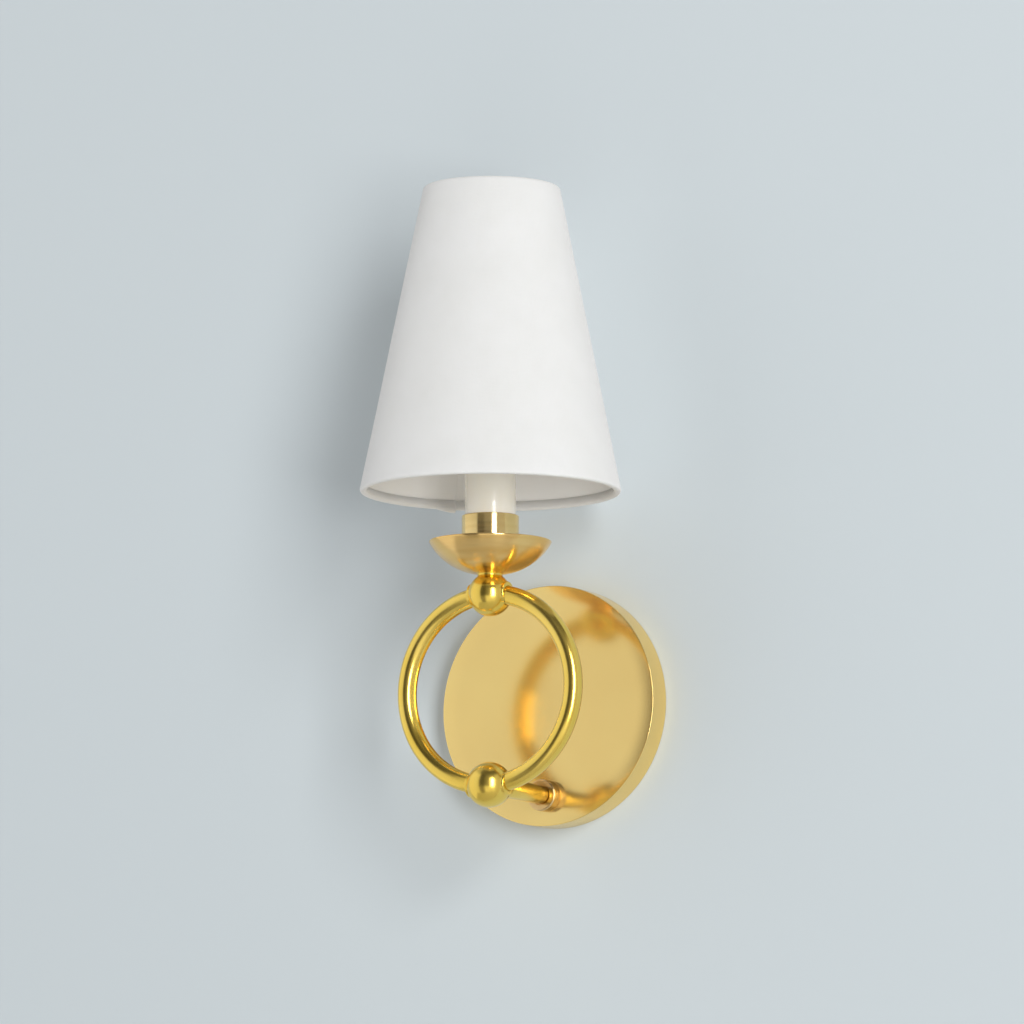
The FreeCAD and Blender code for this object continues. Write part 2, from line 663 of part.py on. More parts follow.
def make_arm():
    """The arm tube with its collar, and the washer, nut and bush behind the plate."""
    outer = "dim.arm_diameter / 2"
    bore = "(dim.arm_diameter / 2 - dim.tube_wall)"
    bush_bore = "dim.bush_bore / 2"
    rim = "dim.arm_collar_diameter / 2"
    edge = "dim.arm_collar_edge"
    collar_end = "(dim.plate_depth + dim.arm_collar_length)"
    pieces = {
        "arm_tube": rectangle(bore, ARM_BACK, outer, "dim.projection - dim.tube_seat"),
        "arm_collar": [
            (outer, "dim.plate_depth"),
            (rim, "dim.plate_depth"),
            (rim, f"{collar_end} - {edge}"),
            (f"{rim} - {edge}", collar_end, edge, 1),
            (outer, collar_end),
        ],
        "arm_washer": rectangle(outer, f"{PLATE_INSIDE} - dim.arm_washer_thick",
                                "dim.arm_washer_diameter / 2", PLATE_INSIDE),
        "arm_bushing": [
            (bush_bore, f"{ARM_BACK} - dim.bush_flange"),
            (outer, f"{ARM_BACK} - dim.bush_flange"),
            (outer, ARM_BACK),
            (bore, ARM_BACK),
            (bore, f"{ARM_BACK} + dim.bush_length"),
            (bush_bore, f"{ARM_BACK} + dim.bush_length"),
        ],
    }
    for label, outline in pieces.items():
        place(keep(turned(label, outline), label), up=ARM_HEIGHT, turn=OUT_OF_WALL)
    nut = hex_nut("arm_nut", "dim.arm_diameter", "dim.arm_nut_height")
    place(nut, out=ARM_NUT_BACK, up=ARM_HEIGHT, turn=OUT_OF_WALL)


def make_ring_half(label, side):
    """Half of the ring, a tube bent about the ring's centre between the two balls."""
    body = doc.addObject("PartDesign::Body", label)
    sketch = new_sketch(body, "XZ_Plane", f"{label}_section")
    for diameter in ("dim.ring_tube", "dim.ring_tube - 2 * dim.tube_wall"):
        draw_circle(sketch, f"{side} * dim.ring_radius", "0", diameter)
    bend = body.newObject("PartDesign::Revolution", f"{label}_bend")
    bend.Profile = sketch
    bend.ReferenceAxis = (sketch, ["V_Axis"])
    bend.setExpression("Angle", "180deg - 2 * asin(dim.tube_seat / dim.ring_radius)")
    bend.Midplane = True
    place(keep(body, label), out="dim.projection", up=RING_HEIGHT, turn=OUT_OF_WALL)


def ball_blank(label, diameter, height):
    """A ball turned with a boss at each side, and how far the bosses reach."""
    boss = f"({BOSS_DIAMETER} / 2)"
    shoulder = f"sqrt(({diameter} / 2)^2 - {boss}^2)"
    reach = f"({shoulder} + dim.boss_height)"
    blank = turned(label, [
        ("0", f"-{reach}"),
        (boss, f"-{reach}"),
        (boss, f"-{shoulder}"),
        (boss, shoulder, f"{diameter} / 2", 1),
        (boss, reach),
        ("0", reach),
    ])
    return place(blank, out="dim.projection", up=height, turn=TO_THE_RIGHT), reach


def make_balls():
    """The lower ball, which the arm also enters, and the upper ball below the neck.

    Each tube stops on a shoulder, and a narrower way for the wires runs on through.
    """
    seat_angle = "asin(dim.tube_seat / dim.ring_radius)"
    ring_cuts = [torus("ring_way", "dim.ring_radius", "dim.ring_tube - 2 * dim.tube_wall",
                       "dim.projection", RING_HEIGHT, OUT_OF_WALL)]
    for name, start in (("right", -90), ("left", 90)):
        spin = Rotation(Vector(0, 0, 1), start + value(f"{seat_angle} / 1deg"))
        ring_cuts.append(torus(f"ring_seat_{name}", "dim.ring_radius", "dim.ring_tube",
                               "dim.projection", RING_HEIGHT, OUT_OF_WALL * spin,
                               f"180deg - 2 * {seat_angle}"))

    blank, reach = ball_blank("lower_ball_turned", "dim.lower_ball", ARM_HEIGHT)
    rear = cylinder("lower_ball_rear", BOSS_DIAMETER, reach,
                    "0", "dim.projection", ARM_HEIGHT, TOWARDS_WALL)
    way = cylinder("lower_ball_way", "dim.wire_way", "dim.lower_ball",
                   "0", "dim.projection", ARM_HEIGHT, TOWARDS_WALL)
    seat = cylinder("lower_ball_seat", "dim.arm_diameter", "dim.lower_ball",
                    "0", "dim.projection - dim.tube_seat", ARM_HEIGHT, TOWARDS_WALL)
    lower = joined("lower_ball_blank", [blank, rear])
    keep(cut("lower_ball", lower, ring_cuts + [way, seat]), "lower_ball")

    blank, _ = ball_blank("upper_ball_turned", "dim.upper_ball", UPPER_HEIGHT)
    bore = cylinder("upper_ball_bore", "dim.rod_diameter", "dim.upper_ball",
                    "0", "dim.projection", f"{UPPER_HEIGHT} + dim.rod_seat")
    way = cylinder("upper_ball_way", "dim.wire_way", "dim.upper_ball",
                   "0", "dim.projection", UPPER_HEIGHT)
    flat = cylinder("upper_ball_flat", "dim.upper_ball", "dim.upper_ball",
                    "0", "dim.projection", NECK_BOTTOM)
    keep(cut("upper_ball", blank, ring_cuts + [bore, way, flat]), "upper_ball")


def make_candle():
    """Neck, drip cup, candle collar, sleeve, and the rod and nuts that clamp them."""
    rod = "dim.rod_diameter / 2"
    lip = "dim.cup_lip"
    edge = "dim.collar_edge"
    pieces = {
        "neck_spacer": rectangle(rod, NECK_BOTTOM, NECK_RADIUS, CUP_SEAT),
        "drip_cup": [
            (rod, CUP_SEAT),
            (NECK_RADIUS, CUP_SEAT),
            ("dim.cup_rim / 2", CUP_TOP, CUP_ARC, 1),
            ("dim.cup_rim / 2", f"{CUP_TOP} + {lip}"),
            (CUP_LIP_RADIUS, f"{CUP_TOP} + {lip}"),
            (CUP_LIP_RADIUS, CUP_TOP),
            (CUP_FLOOR_RADIUS, CUP_FLOOR, CUP_INNER, -1),
            (rod, CUP_FLOOR),
        ],
        "candle_collar": [
            (rod, CUP_FLOOR),
            ("dim.collar_boss / 2", CUP_FLOOR),
            ("dim.collar_boss / 2", COLLAR_BOTTOM),
            (COLLAR_RADIUS, COLLAR_BOTTOM),
            (COLLAR_RADIUS, f"{COLLAR_TOP} - {edge}"),
            (f"{COLLAR_RADIUS} - {edge}", COLLAR_TOP, edge, 1),
            (COLLAR_BORE, COLLAR_TOP),
            (COLLAR_BORE, COLLAR_FLOOR),
            (rod, COLLAR_FLOOR),
        ],
        "candle_sleeve": rectangle(SLEEVE_BORE, COLLAR_FLOOR, SLEEVE_RADIUS, SLEEVE_TOP),
        "threaded_rod": rectangle("dim.rod_bore / 2", ROD_BOTTOM, rod, ROD_TOP),
    }
    for label, outline in pieces.items():
        place(keep(turned(label, outline), label), out="dim.projection")
    place(hex_nut("lock_nut", "dim.rod_diameter", "dim.lock_nut_height"),
          out="dim.projection", up=COLLAR_FLOOR)
    place(hex_nut("bracket_nut", "dim.rod_diameter", "dim.bracket_nut_height"),
          out="dim.projection", up=BRACKET_NUT)


def make_bracket():
    """The bracket: a washer on the rod with a strip that rises beside the lampholder."""
    strip = doc.addObject("PartDesign::Body", "bracket_strip")
    padded(strip, "bracket_bend", "XZ_Plane", [
        (f"-{BRACKET_SIDE}", BRACKET_FOOT),
        ("-dim.rod_diameter / 2", BRACKET_FOOT),
        ("-dim.rod_diameter / 2", BRACKET_NUT),
        (f"-{HOLDER_SIDE}", BRACKET_NUT),
        (f"-{HOLDER_SIDE}", BRACKET_TOP),
        (f"-{BRACKET_SIDE}", BRACKET_TOP),
    ], "dim.bracket_width", both_ways=True)
    foot = cylinder("bracket_washer", "dim.bracket_foot", "dim.bracket_thick", up=BRACKET_FOOT)
    rod_hole = cylinder("bracket_rod_hole", "dim.rod_diameter", "dim.bracket_thick", up=BRACKET_FOOT)
    rivet_hole = cylinder("bracket_rivet_hole", "dim.rivet_diameter", "dim.bracket_thick",
                          f"-{BRACKET_SIDE}", "0", RIVET_HEIGHT, TO_THE_RIGHT)
    bracket = cut("lampholder_bracket", joined("bracket_blank", [strip, foot]), [rod_hole, rivet_hole])
    place(keep(bracket, "lampholder_bracket"), out="dim.projection")


def make_lampholder():
    """The candelabra lampholder with its shell and contact, riveted to the bracket."""
    blank = cylinder("holder_blank", f"2 * {HOLDER_RADIUS}", "dim.holder_height", up=HOLDER_BOTTOM)
    well = cylinder("holder_well", f"2 * {SHELL_RADIUS}", "dim.holder_height", up=HOLDER_CAVITY)
    side = box("holder_side", HOLDER_RADIUS, f"2 * {HOLDER_RADIUS}", "dim.holder_height",
               f"-{HOLDER_SIDE} - {HOLDER_RADIUS}", HOLDER_RADIUS, HOLDER_BOTTOM)
    rivet_well = cylinder("holder_rivet_well", "dim.rivet_diameter", "dim.rivet_grip",
                          f"-{HOLDER_SIDE}", "0", RIVET_HEIGHT, TO_THE_RIGHT)
    holder = cut("lampholder_body", blank, [well, side, rivet_well])
    place(keep(holder, "lampholder_body"), out="dim.projection")

    shell = turned("lampholder_shell", rectangle(
        f"{SHELL_RADIUS} - dim.shell_wall", HOLDER_CAVITY,
        SHELL_RADIUS, f"{HOLDER_TOP} - dim.shell_inset"))
    place(keep(shell, "lampholder_shell"), out="dim.projection")
    contact = cylinder("lampholder_contact", "dim.contact_diameter", "dim.contact_height",
                       out="dim.projection", up=HOLDER_CAVITY)
    keep(contact, "lampholder_contact")

    head = cylinder("rivet_head", "dim.rivet_head", "dim.rivet_head_thick",
                    f"-{BRACKET_SIDE} - dim.rivet_head_thick", "dim.projection",
                    RIVET_HEIGHT, TO_THE_RIGHT)
    shank = cylinder("rivet_shank", "dim.rivet_diameter", "dim.bracket_thick + dim.rivet_grip",
                     f"-{BRACKET_SIDE}", "dim.projection", RIVET_HEIGHT, TO_THE_RIGHT)
    keep(joined("lampholder_rivet", [head, shank]), "lampholder_rivet")


def glass_profile(inset):
    """Corners of the bulb glass from its foot up to its tip, set in by a wall."""
    wide = f"(dim.glass_diameter / 2 - {inset})"
    neck = f"(dim.glass_neck / 2 - {inset})"
    belly = f"({WAIST_ARC} - {inset})"
    belly_side = f"(dim.glass_diameter / 2 - {WAIST_ARC})"
    join_side = f"({belly_side} + {belly} * (2 * {WAIST_ARC} - {WAIST_STEP}) / (2 * {WAIST_ARC}))"
    join_up = f"({GLASS_WIDE} - {belly} * dim.glass_lower / (2 * {WAIST_ARC}))"
    tip_share = f"((dim.glass_tip_radius - {inset}) / ({UPPER_ARC} - dim.glass_tip_radius))"
    tip_side = f"({tip_share} * ({UPPER_ARC} - dim.glass_diameter / 2))"
    tip_up = f"({GLASS_TIP} - dim.glass_tip_radius + {tip_share} * {TIP_RISE})"
    return [
        (neck, GLASS_BOTTOM),
        (neck, GLASS_SHOULDER),
        (join_side, join_up, f"({WAIST_ARC} + {inset})", -1),
        (wide, GLASS_WIDE, belly, 1),
        (tip_side, tip_up, f"({UPPER_ARC} - {inset})", 1),
        ("0", f"({GLASS_TIP} - {inset})", f"(dim.glass_tip_radius - {inset})", 1),
    ]


def walked_back(points):
    """The same corners walked the other way, each arc bending to its other side."""
    result = [points[-1][:2]]
    for index in range(len(points) - 1, 0, -1):
        corner = points[index - 1][:2]
        arc = points[index][2:]
        result.append(corner + (arc[0], -arc[1]) if arc else corner)
    return result


def make_bulb():
    """The bulb: solder tip, insulator, screw base, glass, stem and filaments."""
    tip = cylinder("bulb_contact", "dim.tip_diameter", "dim.tip_height",
                   out="dim.projection", up=BULB_BOTTOM)
    keep(tip, "bulb_contact")
    inner_base = "(dim.base_diameter / 2 - dim.base_wall)"
    stem = "dim.stem_diameter / 2"
    stem_foot = "(dim.glass_neck / 2 - dim.glass_wall)"
    pieces = {
        "bulb_insulator": [
            ("0", INSULATOR_BOTTOM),
            ("dim.tip_diameter / 2", INSULATOR_BOTTOM),
            (inner_base, BASE_BOTTOM),
            ("0", BASE_BOTTOM),
        ],
        "bulb_base": rectangle(inner_base, BASE_BOTTOM, "dim.base_diameter / 2", BASE_TOP),
        "bulb_glass": glass_profile("0") + walked_back(glass_profile("dim.glass_wall")),
        "bulb_stem": [
            ("0", GLASS_BOTTOM),
            (stem_foot, GLASS_BOTTOM),
            (stem, f"{GLASS_BOTTOM} + dim.glass_neck"),
            (stem, f"{GLASS_BOTTOM} + dim.stem_height"),
            ("0", f"{GLASS_BOTTOM} + dim.stem_height"),
        ],
    }
    for label, outline in pieces.items():
        place(keep(turned(label, outline), label), out="dim.projection")

    foot = f"({GLASS_BOTTOM} + dim.stem_height)"
    plate = "2 * dim.filament_circle + 2 * dim.filament_diameter"
    thin = "dim.filament_diameter / 2"
    threads = []
    for number in range(4):
        angle = 45 + 90 * number
        threads.append(cylinder(
            f"filament_{number}", "dim.filament_diameter", "dim.filament_length",
            f"dim.filament_circle * cos({angle}deg)",
            f"dim.projection + dim.filament_circle * sin({angle}deg)", foot))
    holder = cylinder("filament_foot", plate, thin, out="dim.projection", up=foot)
    cap = cylinder("filament_cap", plate, thin, out="dim.projection",
                   up=f"{foot} + dim.filament_length - {thin}")
    keep(joined("bulb_filament", threads + [holder, cap]), "bulb_filament")


def make_clip_loop(name, side):
    """One loop of the clip: an arc round the bulb and two legs up to the sleeve."""
    half_gap = f"asin(dim.clip_opening / 2 / {CLIP_RADIUS})"
    turn = Rotation(Vector(0, 0, 1), value(f"{half_gap} / 1deg") - 90 * side)
    pieces = [torus(f"clip_{name}_arc", CLIP_RADIUS, "dim.clip_wire", "dim.projection",
                    CLIP_HEIGHT, turn, f"180deg - 2 * {half_gap}")]
    foot_reach = f"sqrt({CLIP_RADIUS}^2 - (dim.clip_opening / 2)^2)"
    for end, end_name in ((1, "front"), (-1, "back")):
        foot = (f"{side} * dim.clip_opening / 2", f"dim.projection + {end} * {foot_reach}", CLIP_HEIGHT)
        top = (f"{side} * {PIVOT_RADIUS} / 2",
               f"dim.projection + {end} * (dim.pivot_length / 2 - dim.clip_wire)", PIVOT_HEIGHT)
        run = point(*top) - point(*foot)
        length = "sqrt(" + " + ".join(f"(({a}) - ({b}))^2" for a, b in zip(top, foot)) + ")"
        pieces.append(ball(f"clip_{name}_{end_name}_bend", "dim.clip_wire", *foot))
        pieces.append(cylinder(f"clip_{name}_{end_name}_leg", "dim.clip_wire", length,
                               *foot, Rotation(Vector(0, 0, 1), run)))
    return joined(f"clip_{name}", pieces)


def make_clip():
    """Two wire loops that sit on the bulb's shoulder, and the sleeve that joins them."""
    loops = [make_clip_loop("left", -1), make_clip_loop("right", 1)]
    room = cylinder("clip_sleeve_room", f"2 * {PIVOT_RADIUS}", "dim.pivot_length",
                    "0", "dim.projection + dim.pivot_length / 2", PIVOT_HEIGHT, TOWARDS_WALL)
    keep(cut("clip_loops", joined("clip_pair", loops), [room]), "clip_loops")
    sleeve = turned("clip_sleeve", rectangle(
        PIVOT_BORE, "-dim.pivot_length / 2", PIVOT_RADIUS, "dim.pivot_length / 2"))
    place(keep(sleeve, "clip_sleeve"), out="dim.projection", up=PIVOT_HEIGHT, turn=OUT_OF_WALL)


def cone_radius(height, inset):
    """The shade's radius at a height, set in from the cloth's outside."""
    return f"(dim.shade_bottom_diameter / 2 - ({height} - {SHADE_BOTTOM}) * {SHADE_SLOPE} - {inset})"


def shade_layer(label, outside, inside):
    """One layer of the shade's cone, between two insets."""
    layer = turned(label, [
        (cone_radius(SHADE_BOTTOM, inside), SHADE_BOTTOM),
        (cone_radius(SHADE_BOTTOM, outside), SHADE_BOTTOM),
        (cone_radius(SHADE_TOP, outside), SHADE_TOP),
        (cone_radius(SHADE_TOP, inside), SHADE_TOP),
    ])
    place(keep(layer, label), out="dim.projection")


def make_shade():
    """The shade: cloth, stiff liner, wire rings in their hems, and the cross wire."""
    shade_layer("shade_fabric", "0", "dim.fabric_thick")
    shade_layer("shade_liner", "dim.fabric_thick", BACKING)
    rise = "(dim.hem_cloth + dim.shade_wire / 2)"
    ring_inset = f"({BACKING} + dim.ring_gap + dim.shade_wire / 2)"
    spider_height = f"({SHADE_TOP} - {rise})"
    spider_hole = cylinder("spider_hole", "dim.spider_wire", "dim.shade_bottom_diameter", "0",
                           "dim.projection + dim.shade_bottom_diameter / 2", spider_height,
                           TOWARDS_WALL)
    for name, edge, sense in (("bottom", SHADE_BOTTOM, "1"), ("top", SHADE_TOP, "-1")):
        ring_height = f"({edge} + {sense} * {rise})"
        ring_radius = cone_radius(ring_height, ring_inset)
        hem_end = f"({edge} + {sense} * dim.hem_height)"
        hem_turn = f"({edge} + {sense} * (2 * dim.hem_cloth + dim.shade_wire))"
        cloth = f"({BACKING} + dim.hem_cloth)"
        blank = turned(f"hem_{name}_blank", [
            (cone_radius(edge, BACKING), edge),
            (cone_radius(hem_end, BACKING), hem_end),
            (cone_radius(hem_end, cloth), hem_end),
            (cone_radius(hem_turn, cloth), hem_turn),
            (cone_radius(hem_turn, HEM_DEPTH), hem_turn),
            (cone_radius(edge, HEM_DEPTH), edge),
        ])
        place(blank, out="dim.projection")
        room = torus(f"hem_{name}_room", ring_radius, "dim.shade_wire", "dim.projection", ring_height)
        rooms = [room, spider_hole] if name == "top" else [room]
        keep(cut(f"shade_{name}_hem", blank, rooms), f"shade_{name}_hem")
        keep(torus(f"shade_{name}_ring", ring_radius, "dim.shade_wire", "dim.projection", ring_height),
             f"shade_{name}_ring")

    reach = f"({cone_radius(spider_height, ring_inset)} - dim.shade_wire / 2)"
    flat = "(dim.pivot_length / 2 + dim.spider_play)"
    bend = value("dim.spider_bend")
    wire_piece("shade_spider", bent_path([
        point("0", f"dim.projection + {reach}", spider_height),
        point("0", f"dim.projection + {reach} - dim.spider_run", spider_height),
        point("0", f"dim.projection + {flat}", PIVOT_HEIGHT),
        point("0", f"dim.projection - {flat}", PIVOT_HEIGHT),
        point("0", f"dim.projection - {reach} + dim.spider_run", spider_height),
        point("0", f"dim.projection - {reach}", spider_height),
    ], [bend] * 4), value("dim.spider_wire"))


def make_supply_wire(label, side, way):
    """A supply wire from the block through arm, ball, ring, ball and rod to the lampholder.

    The two wires lie side by side, so each keeps to its own layer in the ring and turns
    round the same corner in the lower ball.
    """
    bend = value("dim.wire_bend")
    offset = value("dim.wire_offset")
    across = f"({side} * dim.wire_offset)"
    layer = f"(dim.projection - {across})"
    low = "asin((dim.tube_seat + dim.wire_offset) / dim.ring_radius)"
    high = "asin(2 * dim.wire_bend / dim.ring_radius)"
    low_side = f"(dim.ring_radius * sin({low}))"
    low_up = f"({RING_HEIGHT} - dim.ring_radius * cos({low}))"
    high_side = f"(dim.ring_radius * sin({high}))"
    high_up = f"({RING_HEIGHT} + dim.ring_radius * cos({high}))"
    arm_up = f"({low_up} - ({low_side} - {across}) * tan({low}))"
    rod_up = f"({high_up} + {high_side} * tan({high}))"
    drop = f"(({BLOCK_BOTTOM} - {arm_up}) / 3)"
    behind = f"({ARM_BACK} - dim.bush_flange - dim.wire_bend)"
    lead = [
        point(way, BLOCK_ENTRY, f"{BLOCK_BOTTOM} + dim.wire_grip"),
        point(way, BLOCK_ENTRY, f"{BLOCK_BOTTOM} - {drop}"),
        point(across, behind, f"{arm_up} + {drop}"),
        point(across, behind, arm_up),
        point(across, layer, arm_up),
        point(low_side, layer, low_up),
    ]
    in_ball = bend if side > 0 else bend + 2 * offset
    edges = bent_path(lead, [bend, bend, bend, in_ball])
    edges.append(Part.Arc(
        point(low_side, layer, low_up),
        point("dim.ring_radius", layer, RING_HEIGHT),
        point(high_side, layer, high_up)).toShape())
    edges += bent_path([
        point(high_side, layer, high_up),
        point("0", layer, rod_up),
        point("0", layer, HOLDER_BOTTOM),
    ], [bend])
    wire_piece(label, edges, value("dim.wire"))


def make_wires():
    """Live and neutral to the lampholder, and the short earth wire to its lug."""
    make_supply_wire("live_wire", -1, "-dim.block_pitch")
    make_supply_wire("neutral_wire", 1, "0")
    wire_piece("earth_wire", bent_path([
        point("dim.block_pitch", BLOCK_ENTRY, f"{BLOCK_TOP} - dim.wire_grip"),
        point("dim.block_pitch", BLOCK_ENTRY, "-dim.strap_width / 4"),
        point("dim.block_pitch - 2 * dim.wire_bend", LUG_AXIS, "0"),
        point("dim.lug_diameter / 2 - dim.earth_side", LUG_AXIS, "0"),
    ], [0.8 * value("dim.wire_bend"), value("dim.wire_bend")]), value("dim.wire"))


make_backplate()
make_strap()
make_catch()
make_wall_screws()
make_terminal_block()
make_arm()
make_ring_half("ring_right", 1)
make_ring_half("ring_left", -1)
make_balls()
make_candle()
make_bracket()
make_lampholder()
make_bulb()
make_clip()
make_shade()
make_wires()
doc.recompute()

for item in doc.Objects:
    faults = [state for state in item.State if state in ("Invalid", "Error")]
    if faults:
        raise RuntimeError(f"{item.Name}: {faults}")
for piece in parts:
    if piece.Shape.isNull() or not piece.Shape.isValid() or not piece.Shape.Solids:
        raise RuntimeError(f"{piece.Label}: no valid solid")

os.makedirs("parts", exist_ok=True)
for piece in parts:
    piece.Shape.exportStep(f"parts/{piece.Label}.step")
print(f"{len(parts)} pieces")
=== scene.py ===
"""Fabric shade wall light in brass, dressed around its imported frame.

A round backplate carries a short arm. The arm ends in a ball, two half rings rise from it
to a second ball, and on that stand a drip cup, a collar and a candle sleeve. A bulb clip on
the candle bulb carries a linen shade.

Sizes are in millimetres. A mesh is turned to metres when it is handed to the scene. Angles
round the candle are azimuths: 0 is straight out of the wall and 90 is to the right.
"""

import json
import logging
import math
from dataclasses import dataclass, field
from enum import Enum
from typing import ClassVar, Iterable, Mapping, Optional, Sequence

import bmesh
import bpy
from mathutils import Matrix, Vector, noise

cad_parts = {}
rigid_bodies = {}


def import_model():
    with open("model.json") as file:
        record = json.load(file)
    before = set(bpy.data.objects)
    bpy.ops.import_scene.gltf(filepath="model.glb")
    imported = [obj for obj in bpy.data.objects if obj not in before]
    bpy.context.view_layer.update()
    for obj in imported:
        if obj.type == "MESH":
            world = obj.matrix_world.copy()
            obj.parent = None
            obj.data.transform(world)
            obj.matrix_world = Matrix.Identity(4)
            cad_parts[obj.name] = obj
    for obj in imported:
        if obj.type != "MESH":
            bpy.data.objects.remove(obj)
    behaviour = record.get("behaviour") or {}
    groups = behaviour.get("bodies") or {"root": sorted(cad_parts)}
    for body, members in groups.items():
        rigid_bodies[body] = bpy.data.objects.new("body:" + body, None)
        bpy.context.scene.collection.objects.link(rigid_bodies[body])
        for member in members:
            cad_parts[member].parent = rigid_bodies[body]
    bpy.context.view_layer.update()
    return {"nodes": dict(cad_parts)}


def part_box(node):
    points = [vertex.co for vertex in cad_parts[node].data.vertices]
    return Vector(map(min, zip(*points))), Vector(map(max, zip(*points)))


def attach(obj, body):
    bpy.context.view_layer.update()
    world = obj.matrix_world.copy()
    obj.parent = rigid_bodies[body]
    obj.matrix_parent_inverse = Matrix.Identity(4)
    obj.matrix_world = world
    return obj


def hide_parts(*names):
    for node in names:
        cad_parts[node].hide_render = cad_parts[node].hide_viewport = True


Socket = bpy.types.NodeSocket
LOG = logging.getLogger("wall_light")
METRES = 0.001

# sockets of the Mix node that carry its two colours and its result
COLOUR_A, COLOUR_B, COLOUR_OUT = 6, 7, 2
# the Wave node's scale at which one wave is one unit long
ONE_WAVE = math.tau / 20
# nearly all of a Noise node's values lie between these
NOISE_LOW, NOISE_HIGH = 0.25, 0.75
# the shader's anisotropy turned square to the tangent, in whole turns
ACROSS_TANGENT = 0.25


class Axis(Enum):
    """Which way the turning axis of a piece points on the light."""

    UP = Matrix.Identity(4)
    OUT_OF_WALL = Matrix.Rotation(math.radians(90), 4, "X")
    TO_THE_RIGHT = Matrix.Rotation(math.radians(90), 4, "Y")


@dataclass(frozen=True)
class Span:
    """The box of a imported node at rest, in millimetres."""

    low: Vector
    high: Vector

    @classmethod
    def of(cls, node: str) -> "Span":
        """Read a node's box from the frame."""
        low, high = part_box(node)
        return cls(low / METRES, high / METRES)

    @property
    def centre(self) -> Vector:
        """The middle of the box."""
        return (self.low + self.high) / 2

    @property
    def size(self) -> Vector:
        """The length of the box along each axis."""
        return self.high - self.low

    @property
    def foot(self) -> Vector:
        """The box's upright axis at zero height."""
        return Vector((self.centre.x, self.centre.y, 0))

    @property
    def root(self) -> Vector:
        """The box's level axis where it meets the wall."""
        return Vector((self.centre.x, 0, self.centre.z))


def packed(node: str) -> Span:
    """A sub-assembly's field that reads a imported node's box."""
    return field(default_factory=lambda: Span.of(node))


def towards(azimuth: float, elevation: float) -> Vector:
    """The unit vector from the light to an azimuth and an elevation in degrees."""
    bearing, lift = math.radians(azimuth), math.radians(elevation)
    return Vector((math.sin(bearing) * math.cos(lift), -math.cos(bearing) * math.cos(lift),
                   math.sin(lift)))


def linear(colour: str) -> tuple[float, float, float, float]:
    """Turn an sRGB hex colour into the linear values that a shader takes.

    Args:
        colour: Six hex digits with a leading hash.

    Returns:
        Linear red, green, blue and an alpha of 1.
    """
    channels = [int(colour[start:start + 2], 16) / 255 for start in (1, 3, 5)]
    red, green, blue = (value / 12.92 if value <= 0.04045 else ((value + 0.055) / 1.055) ** 2.4
                        for value in channels)
    return red, green, blue, 1.0


def add_node(tree: bpy.types.NodeTree, kind: str, links: Optional[Mapping] = None,
             values: Optional[Mapping] = None, **settings) -> bpy.types.Node:
    """Add a shader node with its settings, socket values and links.

    Args:
        tree: The node tree that gets the node.
        kind: The node's type name.
        links: Input sockets by name or number, each with the output that feeds it.
        values: Input sockets by name or number, each with its value.
        **settings: The node's own properties.

    Returns:
        The new node.
    """
    node = tree.nodes.new(kind)
    for name, setting in settings.items():
        setattr(node, name, setting)
    for socket, value in (values or {}).items():
        node.inputs[socket].default_value = value
    for socket, source in (links or {}).items():
        tree.links.new(source, node.inputs[socket])
    return node


